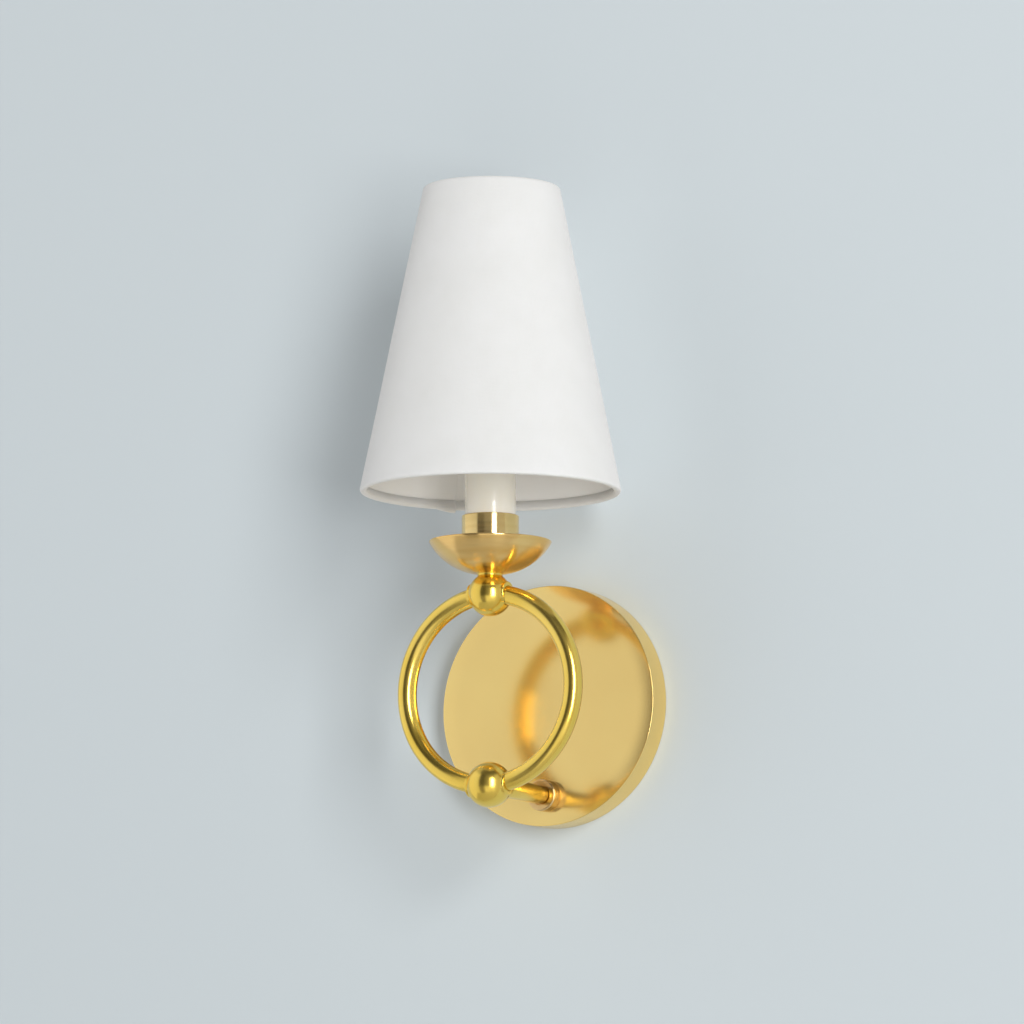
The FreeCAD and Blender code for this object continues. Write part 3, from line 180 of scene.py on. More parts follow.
class Paint:
    """A finish's material in the making: one shader and the patterns that feed it."""

    def __init__(self, finish: "Finish") -> None:
        """Start from the finish's plain colour, roughness and metal."""
        self.finish = finish
        self.material = bpy.data.materials.new(finish.name)
        self.material.use_nodes = True
        self.tree = self.material.node_tree
        self.shader = self.tree.nodes["Principled BSDF"]
        self.set({"Base Color": linear(finish.colour), "Roughness": finish.roughness,
                  "Metallic": finish.metallic})

    def set(self, values: Mapping) -> None:
        """Give the shader's sockets constant values."""
        for socket, value in values.items():
            self.shader.inputs[socket].default_value = value

    def feed(self, socket: str, source: Socket) -> None:
        """Link an output to one of the shader's sockets."""
        self.tree.links.new(source, self.shader.inputs[socket])

    def on_object(self, repeat: float, stretch: Sequence[float]) -> Socket:
        """Object coordinates scaled so that one unit is one repeat of a pattern.

        Args:
            repeat: The size of one repeat in millimetres.
            stretch: How many times longer the repeat is along each axis.

        Returns:
            The vector socket of the scaled coordinates.
        """
        source = add_node(self.tree, "ShaderNodeTexCoord").outputs["Object"]
        scale = [1 / (repeat * METRES * factor) for factor in stretch]
        mapping = add_node(self.tree, "ShaderNodeMapping", {"Vector": source}, {"Scale": scale})
        return mapping.outputs["Vector"]

    def on_map(self, name: str, along: float, across: float) -> Socket:
        """A piece's own UV map, in millimetres, scaled to a pattern's two repeats.

        Args:
            name: The UV map.
            along: The repeat in millimetres in the map's first direction.
            across: The repeat in millimetres in the second.

        Returns:
            The vector socket of the scaled coordinates.
        """
        source = add_node(self.tree, "ShaderNodeUVMap", uv_map=name).outputs["UV"]
        mapping = add_node(self.tree, "ShaderNodeMapping", {"Vector": source},
                           {"Scale": (1 / along, 1 / across, 1)})
        return mapping.outputs["Vector"]

    def wander(self, vector: Socket, low: float = 0.0, high: float = 1.0,
               detail: float = 2.0) -> Socket:
        """A noise that wanders between two values.

        Args:
            vector: The coordinates of the noise, one unit to a repeat.
            low: The value at the noise's low side.
            high: The value at its high side.
            detail: How many finer layers the noise has.

        Returns:
            The socket of the value.
        """
        cloud = add_node(self.tree, "ShaderNodeTexNoise", {"Vector": vector},
                         {"Scale": 1.0, "Detail": detail, "Roughness": 0.5})
        spread = add_node(self.tree, "ShaderNodeMapRange", {"Value": cloud.outputs["Fac"]},
                          {"From Min": NOISE_LOW, "From Max": NOISE_HIGH,
                           "To Min": low, "To Max": high})
        return spread.outputs["Result"]

    def vary_gloss(self, vector: Socket) -> None:
        """Let the roughness wander over the finish's spread."""
        low, high = (self.finish.roughness * share for share in self.finish.spread)
        self.feed("Roughness", self.wander(vector, low, high))

    def vary_colour(self, vector: Socket) -> None:
        """Let the colour wander between the finish's own and its shade."""
        mixed = add_node(self.tree, "ShaderNodeMix", {"Factor": self.wander(vector)},
                         {COLOUR_A: linear(self.finish.colour), COLOUR_B: linear(self.finish.shade)},
                         data_type="RGBA")
        self.feed("Base Color", mixed.outputs[COLOUR_OUT])

    def scatter(self, weight: float, depth: float, tint: Sequence[float]) -> None:
        """Let some light into the surface.

        Args:
            weight: The share of the light that enters.
            depth: How far it goes, in millimetres.
            tint: How much of that depth red, green and blue each reach.
        """
        self.set({"Subsurface Weight": weight, "Subsurface Scale": depth * METRES,
                  "Subsurface Radius": tint})

    def relief(self, *heights: tuple[Socket, float]) -> None:
        """Stack bumps on the shader's normal.

        Args:
            *heights: Height sockets from 0 to 1, each with its depth in millimetres.
        """
        below = {}
        for height, depth in heights:
            bump = add_node(self.tree, "ShaderNodeBump", {**below, "Height": height},
                            {"Strength": 1.0, "Distance": depth * METRES})
            below = {"Normal": bump.outputs["Normal"]}
        self.feed("Normal", below["Normal"])


@dataclass(frozen=True)
class Finish:
    """A surface finish, made into a material the first time that a piece needs it.

    Its roughness wanders from patch to patch over a spread of shares of itself, its colour
    wanders from stain to stain towards a shade, and a grain lies over both. Their sizes
    and the grain's depth are in millimetres, and a finish without a size goes without
    that pattern.
    """

    name: str
    colour: str
    roughness: float
    shade: str = "#FFFFFF"
    metallic: float = 0.0
    spread: tuple[float, float] = (0.85, 1.15)
    patch: float = 0.0
    stain: float = 0.0
    stain_stretch: tuple[float, float, float] = (1.0, 1.0, 1.0)
    grain: float = 0.0
    grain_stretch: tuple[float, float, float] = (1.0, 1.0, 1.0)
    grain_detail: float = 2.0
    grain_depth: float = 0.0

    def material(self) -> bpy.types.Material:
        """Find or make this finish's material."""
        found = bpy.data.materials.get(self.name)
        if found:
            return found
        paint = Paint(self)
        self.dress(paint)
        return paint.material

    def dress(self, paint: Paint) -> None:
        """Lay the patches, the stains and the grain that this finish has."""
        if self.patch:
            paint.vary_gloss(paint.on_object(self.patch, (1, 1, 1)))
        if self.stain:
            paint.vary_colour(paint.on_object(self.stain, self.stain_stretch))
        if self.grain:
            grain = paint.wander(paint.on_object(self.grain, self.grain_stretch),
                                 detail=self.grain_detail)
            paint.relief((grain, self.grain_depth))


@dataclass(frozen=True)
class BuffedBrass(Finish):
    """Brass polished on a soft wheel and lacquered: a mirror with thin hazy smears, a little
    change of colour in the lacquer and a slow buffing ripple."""

    shade: str = "#F0CC58"
    metallic: float = 1.0
    spread: tuple[float, float] = (0.8, 1.2)
    patch: float = 14.0
    stain: float = 23.8
    grain: float = 8.0
    grain_detail: float = 1.0
    grain_depth: float = 0.012


@dataclass(frozen=True)
class SatinBrass(Finish):
    """Sheet brass rubbed with a fine pad and lacquered: reflections with clear outlines, and
    over them a veil of the brass's own colour, which the rub marks scatter."""

    shade: str = "#F3D386"
    metallic: float = 0.85
    spread: tuple[float, float] = (0.9, 1.12)
    patch: float = 30.0
    stain: float = 45.0
    grain: float = 0.35
    grain_stretch: tuple[float, float, float] = (1.0, 1.0, 3.0)
    grain_depth: float = 0.0015


@dataclass(frozen=True)
class TurnedBrass(Finish):
    """Brass finished on the lathe with a fine cloth: grooves round the axis draw each
    reflection out along the piece."""

    shade: str = "#EDCD88"
    metallic: float = 1.0
    spread: tuple[float, float] = (0.85, 1.2)
    pull: float = 0.95
    groove: float = 0.22
    groove_run: float = 60.0
    groove_depth: float = 0.0012
    band: float = 1.6
    band_run: float = 120.0
    stain: float = 3.2

    def dress(self, paint: Paint) -> None:
        """Grooves on the piece's own map, and a shader that stretches its reflections."""
        tangent = add_node(paint.tree, "ShaderNodeTangent", direction_type="UV_MAP", uv_map=Lathe.MAP)
        paint.feed("Tangent", tangent.outputs["Tangent"])
        paint.set({"Anisotropic": self.pull, "Anisotropic Rotation": ACROSS_TANGENT})
        paint.vary_gloss(paint.on_map(Lathe.MAP, self.band_run, self.band))
        paint.vary_colour(paint.on_map(Lathe.MAP, self.groove_run, self.stain))
        grooves = paint.wander(paint.on_map(Lathe.MAP, self.groove_run, self.groove))
        paint.relief((grooves, self.groove_depth))


@dataclass(frozen=True)
class PlatedSteel(Finish):
    """Pressed metal with a thin bright skin: patches in colour and gloss over a fine drawn
    grain."""

    shade: str = "#B4B7BA"
    metallic: float = 1.0
    spread: tuple[float, float] = (0.7, 1.3)
    patch: float = 6.0
    stain: float = 8.4
    grain: float = 0.3
    grain_stretch: tuple[float, float, float] = (6.0, 1.0, 1.0)
    grain_depth: float = 0.004


@dataclass(frozen=True)
class MouldedPlastic(Finish):
    """Moulded or drawn plastic: a faint spark-eroded grain under a soft sheen, with a slow
    change in gloss and colour."""

    patch: float = 6.0
    stain: float = 10.0
    grain: float = 0.5
    grain_depth: float = 0.006


@dataclass(frozen=True)
class CandleAcrylic(Finish):
    """A cream acrylic tube: a little light enters it, and its skin is glossy, with an
    extruded tube's long ripple."""

    glow: float = 0.12
    glow_depth: float = 1.5
    glow_tint: tuple[float, float, float] = (1.0, 0.8, 0.5)
    skin: float = 0.3
    skin_roughness: float = 0.05
    stain: float = 18.0
    stain_stretch: tuple[float, float, float] = (1.0, 1.0, 3.0)
    grain: float = 3.0
    grain_stretch: tuple[float, float, float] = (1.0, 1.0, 12.0)
    grain_detail: float = 1.0
    grain_depth: float = 0.006

    def dress(self, paint: Paint) -> None:
        """A soft glow under a clear skin."""
        super().dress(paint)
        paint.scatter(self.glow, self.glow_depth, self.glow_tint)
        paint.set({"Coat Weight": self.skin, "Coat Roughness": self.skin_roughness})


@dataclass(frozen=True)
class Linen(Finish):
    """White linen on a hard back: plain weave with thicker slubs, dull and a little downy.
    The threads are 0.45 mm apart, drawn 0.7 mm apart to show."""

    down: float = 0.25
    down_roughness: float = 0.6
    glow: float = 0.3
    glow_depth: float = 1.2
    glow_tint: tuple[float, float, float] = (1.0, 0.98, 0.92)
    thread: float = 0.7
    thread_depth: float = 0.04
    thread_waver: float = 0.6
    waver_scale: float = 0.4
    slub: float = 0.9
    slub_run: float = 16.0
    slub_depth: float = 0.022
    stain: float = 26.0

    def dress(self, paint: Paint) -> None:
        """Threads both ways, slubs both ways and a felt-like sheen."""
        paint.set({"Sheen Weight": self.down, "Sheen Roughness": self.down_roughness})
        paint.scatter(self.glow, self.glow_depth, self.glow_tint)
        heights = []
        for direction in ("X", "Y"):
            wave = add_node(paint.tree, "ShaderNodeTexWave",
                            {"Vector": paint.on_map(Shade.MAP, self.thread, self.thread)},
                            {"Scale": ONE_WAVE, "Distortion": self.thread_waver, "Detail": 1.0,
                             "Detail Scale": self.waver_scale},
                            wave_type="BANDS", bands_direction=direction)
            heights.append((wave.outputs["Fac"], self.thread_depth))
        for along, across in ((self.slub_run, self.slub), (self.slub, self.slub_run)):
            heights.append((paint.wander(paint.on_map(Shade.MAP, along, across)), self.slub_depth))
        paint.relief(*heights)
        paint.vary_colour(paint.on_map(Shade.MAP, self.stain, self.stain))


@dataclass(frozen=True)
class ClearGlass(Finish):
    """Blown clear glass: colourless, with the faint waves of a blown wall."""

    bend: float = 1.5
    grain: float = 9.0
    grain_detail: float = 1.0
    grain_depth: float = 0.02

    def dress(self, paint: Paint) -> None:
        """Let all the light through."""
        super().dress(paint)
        paint.set({"Transmission Weight": 1.0, "IOR": self.bend})


@dataclass(frozen=True)
class Phosphor(Finish):
    """The yellow coat of a filament: a matt powder with fine specks."""

    stain: float = 0.8
    grain: float = 0.4
    grain_depth: float = 0.03


# warm yellow mirrors with soft dark streaks: arm, ring, balls and neck
BALL_BRASS = BuffedBrass("buffed_lacquered_brass", "#F8D872", 0.21)
# the same polish on a redder brass, which sets the arm's collar off from the arm
ARM_COLLAR_BRASS = BuffedBrass("buffed_pale_brass", "#EACA92", 0.22, "#DDB97E")
# a calm golden disc in which the ring stands as a soft reflection
PLATE_BRASS = SatinBrass("satin_sheet_brass", "#F7DA8C", 0.155)
# silky bowl: the ball's reflection runs up it as a streak
CUP_BRASS = TurnedBrass("spun_satin_brass", "#F4D08A", 0.21, "#ECC276", pull=0.9)
# upright bands of light and dark round the collar
COLLAR_BRASS = TurnedBrass("turned_satin_brass", "#F5DA98", 0.24)
# small brass parts, deeper in colour and a little dull
PLAIN_BRASS = PlatedSteel("drawn_plain_brass", "#D9B45F", 0.25, "#B48A3A")
# bluish grey with dull patches
BRIGHT_ZINC = PlatedSteel("bright_zinc_steel", "#C9CDD2", 0.32)
# thin bright lines, warmer than zinc
NICKEL_WIRE = PlatedSteel("nickel_plated_wire", "#D6D2C8", 0.2, "#A9A59B")
# the green that marks the earth
GREEN_SCREW = PlatedSteel("green_dipped_screw", "#2E8B4A", 0.4, "#1F6B38")
# pale grey metal whose thread catches thin highlights
CAP_ALUMINIUM = PlatedSteel("pressed_aluminium_cap", "#D5D8DB", 0.28, "#B4B8BC")
# creamy tube with one narrow upright highlight
CREAM_SLEEVE = CandleAcrylic("cream_acrylic", "#FFFAEC", 0.22, "#FDF6E6")
# off-white and waxy
WHITE_NYLON = MouldedPlastic("moulded_nylon", "#E9E8E2", 0.45, "#DFDDD4")
# near black with a hard gloss
BLACK_PHENOLIC = MouldedPlastic("moulded_phenolic", "#1B1A1A", 0.3, "#24211F")
# wire jackets, all with the same soft sheen
BLACK_WIRE = MouldedPlastic("black_wire_jacket", "#1A1A1C", 0.45, "#232327")
WHITE_WIRE = MouldedPlastic("white_wire_jacket", "#E6E6E4", 0.45, "#D9D9D4")
GREEN_WIRE = MouldedPlastic("green_wire_jacket", "#2F8F4C", 0.45, "#277A41")
# a glassy black foot
BLACK_GLASS = MouldedPlastic("black_glass_insulator", "#101014", 0.12, "#1A1A20")
# smooth bright white that throws the light about inside the shade
SHADE_BACKING = MouldedPlastic("laminated_backing", "#FEFEFC", 0.5, "#FCFBF8", grain=1.2, patch=14.4,
                               stain=24.0)
# dull white cloth whose weave shows only close up
SHADE_LINEN = Linen("white_linen", "#F5F5F3", 0.85, "#F0F0ED")
# seen by its edges and highlights alone
BULB_GLASS = ClearGlass("clear_blown_glass", "#FFFFFF", 0.02)
# egg-yellow rods
FILAMENT = Phosphor("filament_phosphor", "#F0C850", 0.7, "#E9B53A")


def hand_over(mesh: bmesh.types.BMesh, name: str, finish: Finish, body: str,
              stands_for: Iterable[str] = (), sharp: float = 40.0) -> bpy.types.Object:
    """Turn a bmesh in millimetres into a piece of the light.

    Args:
        mesh: The piece's mesh, already in its place. It is freed.
        name: The piece's name.
        finish: What its surface is.
        body: The moving body that carries it.
        stands_for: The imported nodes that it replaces.
        sharp: The angle in degrees past which an edge stays sharp.

    Returns:
        The new object.
    """
    mesh.transform(Matrix.Scale(METRES, 4))
    limit = math.radians(sharp)
    for face in mesh.faces:
        face.smooth = True
    for edge in mesh.edges:
        edge.smooth = len(edge.link_faces) != 2 or edge.calc_face_angle(0.0) < limit
    piece = as_object(mesh, name)
    piece.data.materials.append(finish.material())
    bpy.context.scene.collection.objects.link(piece)
    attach(piece, body)
    if stands_for:
        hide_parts(*stands_for)
    LOG.info("%s: %d faces in %s on %s", name, len(piece.data.polygons), finish.name, body)
    return piece


def as_object(mesh: bmesh.types.BMesh, name: str) -> bpy.types.Object:
    """Put a bmesh into a new object that no scene holds yet, and free it."""
    data = bpy.data.meshes.new(name)
    mesh.to_mesh(data)
    mesh.free()
    return bpy.data.objects.new(name, data)


def add_modifier(piece: bpy.types.Object, name: str, kind: str, **settings) -> None:
    """Add a modifier with its settings."""
    modifier = piece.modifiers.new(name, kind)
    for key, setting in settings.items():
        setattr(modifier, key, setting)


def add_wall(piece: bpy.types.Object, name: str, thickness: float) -> None:
    """Give an open skin a wall inwards, with its thickness in millimetres."""
    add_modifier(piece, name, "SOLIDIFY", thickness=thickness * METRES, offset=-1.0)


def level_faces(piece: bpy.types.Object) -> None:
    """Keep broad flat faces flat beside their rounded edges."""
    add_modifier(piece, "level_faces", "WEIGHTED_NORMAL", keep_sharp=True, weight=100)


def carve(target: bpy.types.Object, tool: bmesh.types.BMesh, operation: str) -> None:
    """Join a solid to an object, or cut it away.

    Args:
        target: The object whose mesh changes.
        tool: The other solid. It is freed.
        operation: UNION or DIFFERENCE.
    """
    cutter = as_object(tool, "tool")
    collection = bpy.context.scene.collection.objects
    for item in (target, cutter):
        if item.name not in collection:
            collection.link(item)
    modifier = target.modifiers.new("carve", "BOOLEAN")
    modifier.object = cutter
    modifier.operation = operation
    modifier.solver = "EXACT"
    graph = bpy.context.evaluated_depsgraph_get()
    result = bpy.data.meshes.new_from_object(target.evaluated_get(graph))
    target.modifiers.remove(modifier)
    target.data = result
    bpy.data.objects.remove(cutter)


def dress_nodes(frame: dict, nodes: Sequence[str], finish: Finish) -> None:
    """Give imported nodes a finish.

    Args:
        frame: The loaded frame.
        nodes: The names of the nodes.
        finish: What their surfaces are.
    """
    for node in nodes:
        piece = frame["nodes"][node]
        piece.data.materials.clear()
        piece.data.materials.append(finish.material())
        LOG.info("%s: kept, in %s", node, finish.name)


class Lathe:
    """Draws an outline of corners and bows and turns it about its height axis.

    An outline point is a radius and a height. The outline runs so that the material lies
    on its left, from the axis outwards at the low end and back to the axis at the high end.
    """

    MAP = "turning"
    LENGTH = "along"
    BEND_STEPS = 6
    WELD = 1e-5

    def __init__(self, steps: int = 192) -> None:
        """Start with an empty outline that will be turned in this many steps."""
        self.mesh = bmesh.new()
        self.length = self.mesh.verts.layers.float.new(self.LENGTH)
        self.steps = steps
        self.ends: list[bmesh.types.BMVert] = []
        self.roundings: list[tuple[bmesh.types.BMVert, float]] = []

    def corner(self, radius: float, height: float, rounding: float = 0.0) -> "Lathe":
        """Run straight to a corner, which may be rounded."""
        point = self.mesh.verts.new((radius, 0.0, height))
        if self.ends:
            self.mesh.edges.new((self.ends[-1], point))
        self.ends.append(point)
        if rounding:
            self.roundings.append((point, rounding))
        return self

    def bow(self, radius: float, height: float, degrees: float, steps: int) -> "Lathe":
        """Swing round a centre by an angle, positive from outwards to upwards."""
        turn = bmesh.ops.spin(self.mesh, geom=[self.ends[-1]], cent=(radius, 0, height),
                              axis=(0, -1, 0), angle=math.radians(degrees), steps=steps,
                              use_duplicate=False)
        self.ends.append(next(item for item in turn["geom_last"]
                              if isinstance(item, bmesh.types.BMVert)))
        return self

    def bow_to(self, radius: float, height: float, bend: float, steps: int) -> "Lathe":
        """Run to a point along an arc of a given radius.

        Args:
            radius: The end point's radius.
            height: The end point's height.
            bend: The arc's radius, negative where its centre is on the right of the run.
            steps: How many straight pieces stand for the arc.

        Returns:
            This lathe.
        """
        start = self.ends[-1].co
        chord = Vector((radius - start.x, height - start.z))
        half_turn = math.asin(min(1.0, chord.length / 2 / abs(bend)))
        side = math.copysign(1.0, bend)
        across = Vector((-chord.y, chord.x)).normalized() * side
        middle = Vector((start.x, start.z)) + chord / 2
        centre = middle + across * abs(bend) * math.cos(half_turn)
        return self.bow(centre.x, centre.y, side * 2 * math.degrees(half_turn), steps)

    def turned(self, place: Vector, axis: Axis = Axis.UP, closed: bool = False) -> bmesh.types.BMesh:
        """Round the corners, turn the outline and put it in its place.

        Args:
            place: Where the axis's zero height lies on the light.
            axis: Which way the heights point.
            closed: Whether the outline's end meets its start.

        Returns:
            The turned mesh with its UV map.
        """
        if closed:
            self.mesh.edges.new((self.ends[-1], self.ends[0]))
        for point, rounding in self.roundings:
            bmesh.ops.bevel(self.mesh, geom=[point], offset=rounding, offset_type="OFFSET",
                            segments=self.BEND_STEPS, profile=0.5, affect="VERTICES", material=-1)
        self.measure()
        bmesh.ops.spin(self.mesh, geom=list(self.mesh.verts) + list(self.mesh.edges), cent=(0, 0, 0),
                       axis=(0, 0, 1), angle=math.tau, steps=self.steps, use_merge=True,
                       use_duplicate=False)
        bmesh.ops.remove_doubles(self.mesh, verts=self.mesh.verts, dist=self.WELD)
        bmesh.ops.recalc_face_normals(self.mesh, faces=self.mesh.faces)
        self.wrap()
        self.mesh.transform(Matrix.Translation(place) @ axis.value)
        return self.mesh

    def measure(self) -> None:
        """Store each outline point's distance along the outline."""
        loose = [point for point in self.mesh.verts if len(point.link_edges) == 1]
        first = min(loose or self.mesh.verts, key=lambda point: (point.co.z, point.co.x))
        point, edge, distance = first, None, 0.0
        while point is not None:
            point[self.length] = distance
            edge = next((link for link in point.link_edges if link is not edge), None)
            onward = edge.other_vert(point) if edge else None
            distance += edge.calc_length() if edge else 0.0
            point = None if onward is first else onward

    def wrap(self) -> None:
        """Give the turned faces a map: millimetres round the axis, then along the outline."""
        layer = self.mesh.loops.layers.uv.new(self.MAP)
        girth = max(point.co.xy.length for point in self.mesh.verts)
        for face in self.mesh.faces:
            middle = face.calc_center_median()
            facing = math.atan2(middle.y, middle.x)
            for loop in face.loops:
                point = loop.vert.co
                on_axis = point.xy.length < self.WELD
                swing = 0.0 if on_axis else nearest_turn(math.atan2(point.y, point.x) - facing)
                loop[layer].uv = (girth * (facing + swing), loop.vert[self.length])


def nearest_turn(angle: float) -> float:
    """An angle less whole turns, from -pi to pi."""
    return (angle + math.pi) % math.tau - math.pi


@dataclass
class WallPlate:
    """The round pan against the wall, its face rubbed satin and its rim bare."""

    face_wall: float = 1.5
    rim_wall: float = 1.2
    edge: float = 0.35
    inner_edge: float = 0.6
    falloff_width: float = 9.0
    falloff_depth: float = 0.3
    pan: Span = packed("backplate")

    def build(self) -> None:
        """Turn the pan with a face that falls off a little towards its edge."""
        radius = self.pan.size.x / 2
        depth = self.pan.size.y
        inner = radius - self.rim_wall
        inside = depth - self.face_wall
        flat = radius - self.falloff_width
        lathe = Lathe(steps=256).corner(0, inside).corner(inner, inside, self.inner_edge)
        lathe.corner(inner, 0).corner(radius, 0)
        lathe.corner(radius, depth - self.falloff_depth, self.edge)
        bend = (self.falloff_width ** 2 + self.falloff_depth ** 2) / (2 * self.falloff_depth)
        lathe.bow_to(flat, depth, bend, steps=10).corner(0, depth)
        mesh = lathe.turned(self.pan.root, Axis.OUT_OF_WALL)
        piece = hand_over(mesh, "wall_plate", PLATE_BRASS, "root", ["backplate"])
        level_faces(piece)


@dataclass
class Arm:
    """The short tube out of the plate, with the turned collar round its root."""

    wall: float = 1.0
    edge: float = 0.2
    collar_edge: float = 0.9
    collar_root: float = 0.8
    gap: float = 0.35
    gap_depth: float = 1.2
    tube: Span = packed("arm_tube")
    collar: Span = packed("arm_collar")

    def build(self) -> None:
        """Turn the tube and the collar about the arm's own axis."""
        radius = self.tube.size.x / 2
        back, front = -self.tube.high.y, -self.tube.low.y
        lathe = Lathe(steps=96).corner(radius - self.wall, back).corner(radius, back, self.edge)
        lathe.corner(radius, front, self.edge).corner(radius - self.wall, front)
        mesh = lathe.turned(self.tube.root, Axis.OUT_OF_WALL, closed=True)
        hand_over(mesh, "arm", BALL_BRASS, "root", ["arm_tube"])

        outer = self.collar.size.x / 2
        root, nose = -self.collar.high.y, -self.collar.low.y
        lathe = Lathe(steps=128).corner(radius, root).corner(outer, root, self.collar_root)
        lathe.corner(outer, nose, self.collar_edge).corner(radius + self.gap, nose, self.edge)
        lathe.corner(radius + self.gap, nose - self.gap_depth).corner(radius, nose - self.gap_depth)
        mesh = lathe.turned(self.tube.root, Axis.OUT_OF_WALL, closed=True)
        piece = hand_over(mesh, "arm_root_collar", ARM_COLLAR_BRASS, "root",
                          ["arm_collar"])
        level_faces(piece)


@dataclass
class Ring:
    """The upright ring: two bent tubes between two balls with bosses."""

    wall: float = 1.0
    seat: float = 5.5
    seat_sweep: float = math.radians(16)
    play: float = 0.15
    overshoot: float = 1.0
    boss_wall: float = 1.15
    boss_height: float = 1.6
    boss_edge: float = 0.7
    crease: float = 28.0
    arm: Span = packed("arm_tube")
    half: Span = packed("ring_right")
    neck: Span = packed("neck_spacer")
    low_ball: Span = packed("lower_ball")
    high_ball: Span = packed("upper_ball")

    @property
    def tube(self) -> float:
        """The diameter of the bent tube."""
        return self.half.size.y

    @property
    def boss(self) -> float:
        """The radius of a ball's boss."""
        return self.tube / 2 + self.boss_wall

    @property
    def radius(self) -> float:
        """The radius of the ring, to the middle of its tube."""
        return self.half.high.x - self.tube / 2

    @property
    def middle(self) -> Vector:
        """The centre of the ring."""
        return Vector((0, self.half.centre.y, self.half.centre.z))

    @property
    def gap(self) -> float:
        """The angle from a ball's centre to the end of the tube inside it."""
        return math.asin(self.seat / self.radius)

    def build(self) -> None:
        """Bend both halves and turn both balls."""
        for side, name in ((1, "right"), (-1, "left")):
            mesh = self.sweep(side, self.tube / 2, self.gap, math.pi - 2 * self.gap, steps=120)
            piece = hand_over(mesh, f"ring_half_{name}", BALL_BRASS, "root",
                              [f"ring_{name}"])
            add_wall(piece, "tube_wall", self.wall)
        low = self.middle - Vector((0, 0, self.radius))
        high = self.middle + Vector((0, 0, self.radius))
        ball = self.turn_ball(low, self.low_ball.size.z / 2)
        self.add_rear_boss(ball, low, self.low_ball.size.z / 2)
        self.cut_tube_seats(ball, self.gap)
        self.finish_ball(ball, "ring_ball_low", "lower_ball")
        ball = self.turn_ball(high, high.z - self.high_ball.low.z)
        self.cut_neck_seat(ball)
        self.cut_tube_seats(ball, math.pi - self.gap - self.seat_sweep)
        self.finish_ball(ball, "ring_ball_high", "upper_ball")

    def sweep(self, side: int, radius: float, start: float, turn: float, steps: int,
              capped: bool = False) -> bmesh.types.BMesh:
        """Sweep a circle along part of the ring.

        Args:
            side: 1 for the right half, -1 for the left.
            radius: The circle's radius.
            start: The angle from the ring's lowest point to the sweep's start.
            turn: The angle that it sweeps.
            steps: How many straight pieces stand for the bend.
            capped: Whether its ends are closed.

        Returns:
            The swept mesh, facing outwards.
        """
        mesh = bmesh.new()
        upright = Matrix.Translation((0, 0, -self.radius)) @ Axis.TO_THE_RIGHT.value
        bmesh.ops.create_circle(mesh, segments=64, radius=radius, cap_ends=False,
                                matrix=Matrix.Rotation(-side * start, 4, "Y") @ upright)
        bmesh.ops.spin(mesh, geom=list(mesh.verts) + list(mesh.edges), cent=(0, 0, 0), axis=(0, 1, 0),
                       angle=-side * turn, steps=steps, use_duplicate=False)
        if capped:
            rims = [edge for edge in mesh.edges if len(edge.link_faces) == 1]
            bmesh.ops.holes_fill(mesh, edges=rims, sides=0)
        bmesh.ops.recalc_face_normals(mesh, faces=mesh.faces)
        outermost = max(mesh.faces, key=lambda face: face.calc_center_median().length)
        if outermost.normal.dot(outermost.calc_center_median()) < 0:
            bmesh.ops.reverse_faces(mesh, faces=mesh.faces)
        mesh.transform(Matrix.Translation(self.middle))
        return mesh

    def cut_tube_seats(self, ball: bpy.types.Object, start: float) -> None:
        """Bore a ball along the ring's curve on both sides.

        Args:
            ball: The ball.
            start: The angle from the ring's lowest point at which the bore starts.
        """
        for side in (1, -1):
            bore = self.sweep(side, self.tube / 2 + self.play, start, self.seat_sweep, steps=24,
                              capped=True)
            carve(ball, bore, "DIFFERENCE")

    def reach(self, radius: float) -> float:
        """How far the boss on a ball of a radius stands out from the ball's centre."""
        return math.sqrt(radius ** 2 - self.boss ** 2) + self.boss_height

    def turn_ball(self, centre: Vector, radius: float) -> bpy.types.Object:
        """Turn a ball about the tubes' line, with a boss at each side.

        Args:
            centre: The ball's centre.
            radius: The ball's radius.

        Returns:
            The ball, not yet a piece of the light.
        """
        reach = self.reach(radius)
        shoulder = reach - self.boss_height
        lathe = Lathe(steps=128).corner(0, -reach).corner(self.boss, -reach, self.boss_edge)
        lathe.corner(self.boss, -shoulder).bow_to(self.boss, shoulder, radius, steps=48)
        lathe.corner(self.boss, reach, self.boss_edge).corner(0, reach)
        return as_object(lathe.turned(centre, Axis.TO_THE_RIGHT), "ball")

    def add_rear_boss(self, ball: bpy.types.Object, centre: Vector, radius: float) -> None:
        """Join a third boss for the arm to the lower ball, and bore it.

        Args:
            ball: The lower ball.
            centre: Its centre.
            radius: Its radius.
        """
        reach = self.reach(radius)
        bore = self.arm.size.x / 2 + self.play
        for size, face, edge, operation in ((self.boss, -reach, self.boss_edge, "UNION"),
                                            (bore, -reach - self.overshoot, 0.0, "DIFFERENCE")):
            lathe = Lathe(steps=128).corner(0, face).corner(size, face, edge)
            lathe.corner(size, -self.seat).corner(0, -self.seat)
            carve(ball, lathe.turned(centre, Axis.OUT_OF_WALL), operation)

    def cut_neck_seat(self, ball: bpy.types.Object) -> None:
        """Face the upper ball flat under the neck."""
        seat = Vector((self.neck.centre.x, self.neck.centre.y, self.neck.low.z))
        size = self.high_ball.size.x
        lathe = Lathe(steps=64).corner(0, 0).corner(size, 0).corner(size, size).corner(0, size)
        carve(ball, lathe.turned(seat), "DIFFERENCE")

    def finish_ball(self, ball: bpy.types.Object, name: str, node: str) -> None:
        """Hand a ball over as a piece.

        Args:
            ball: The ball.
            name: The piece's name.
            node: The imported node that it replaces.
        """
        mesh = bmesh.new()
        mesh.from_mesh(ball.data)
        bpy.data.objects.remove(ball)
        piece = hand_over(mesh, name, BALL_BRASS, "root", [node], self.crease)
        level_faces(piece)


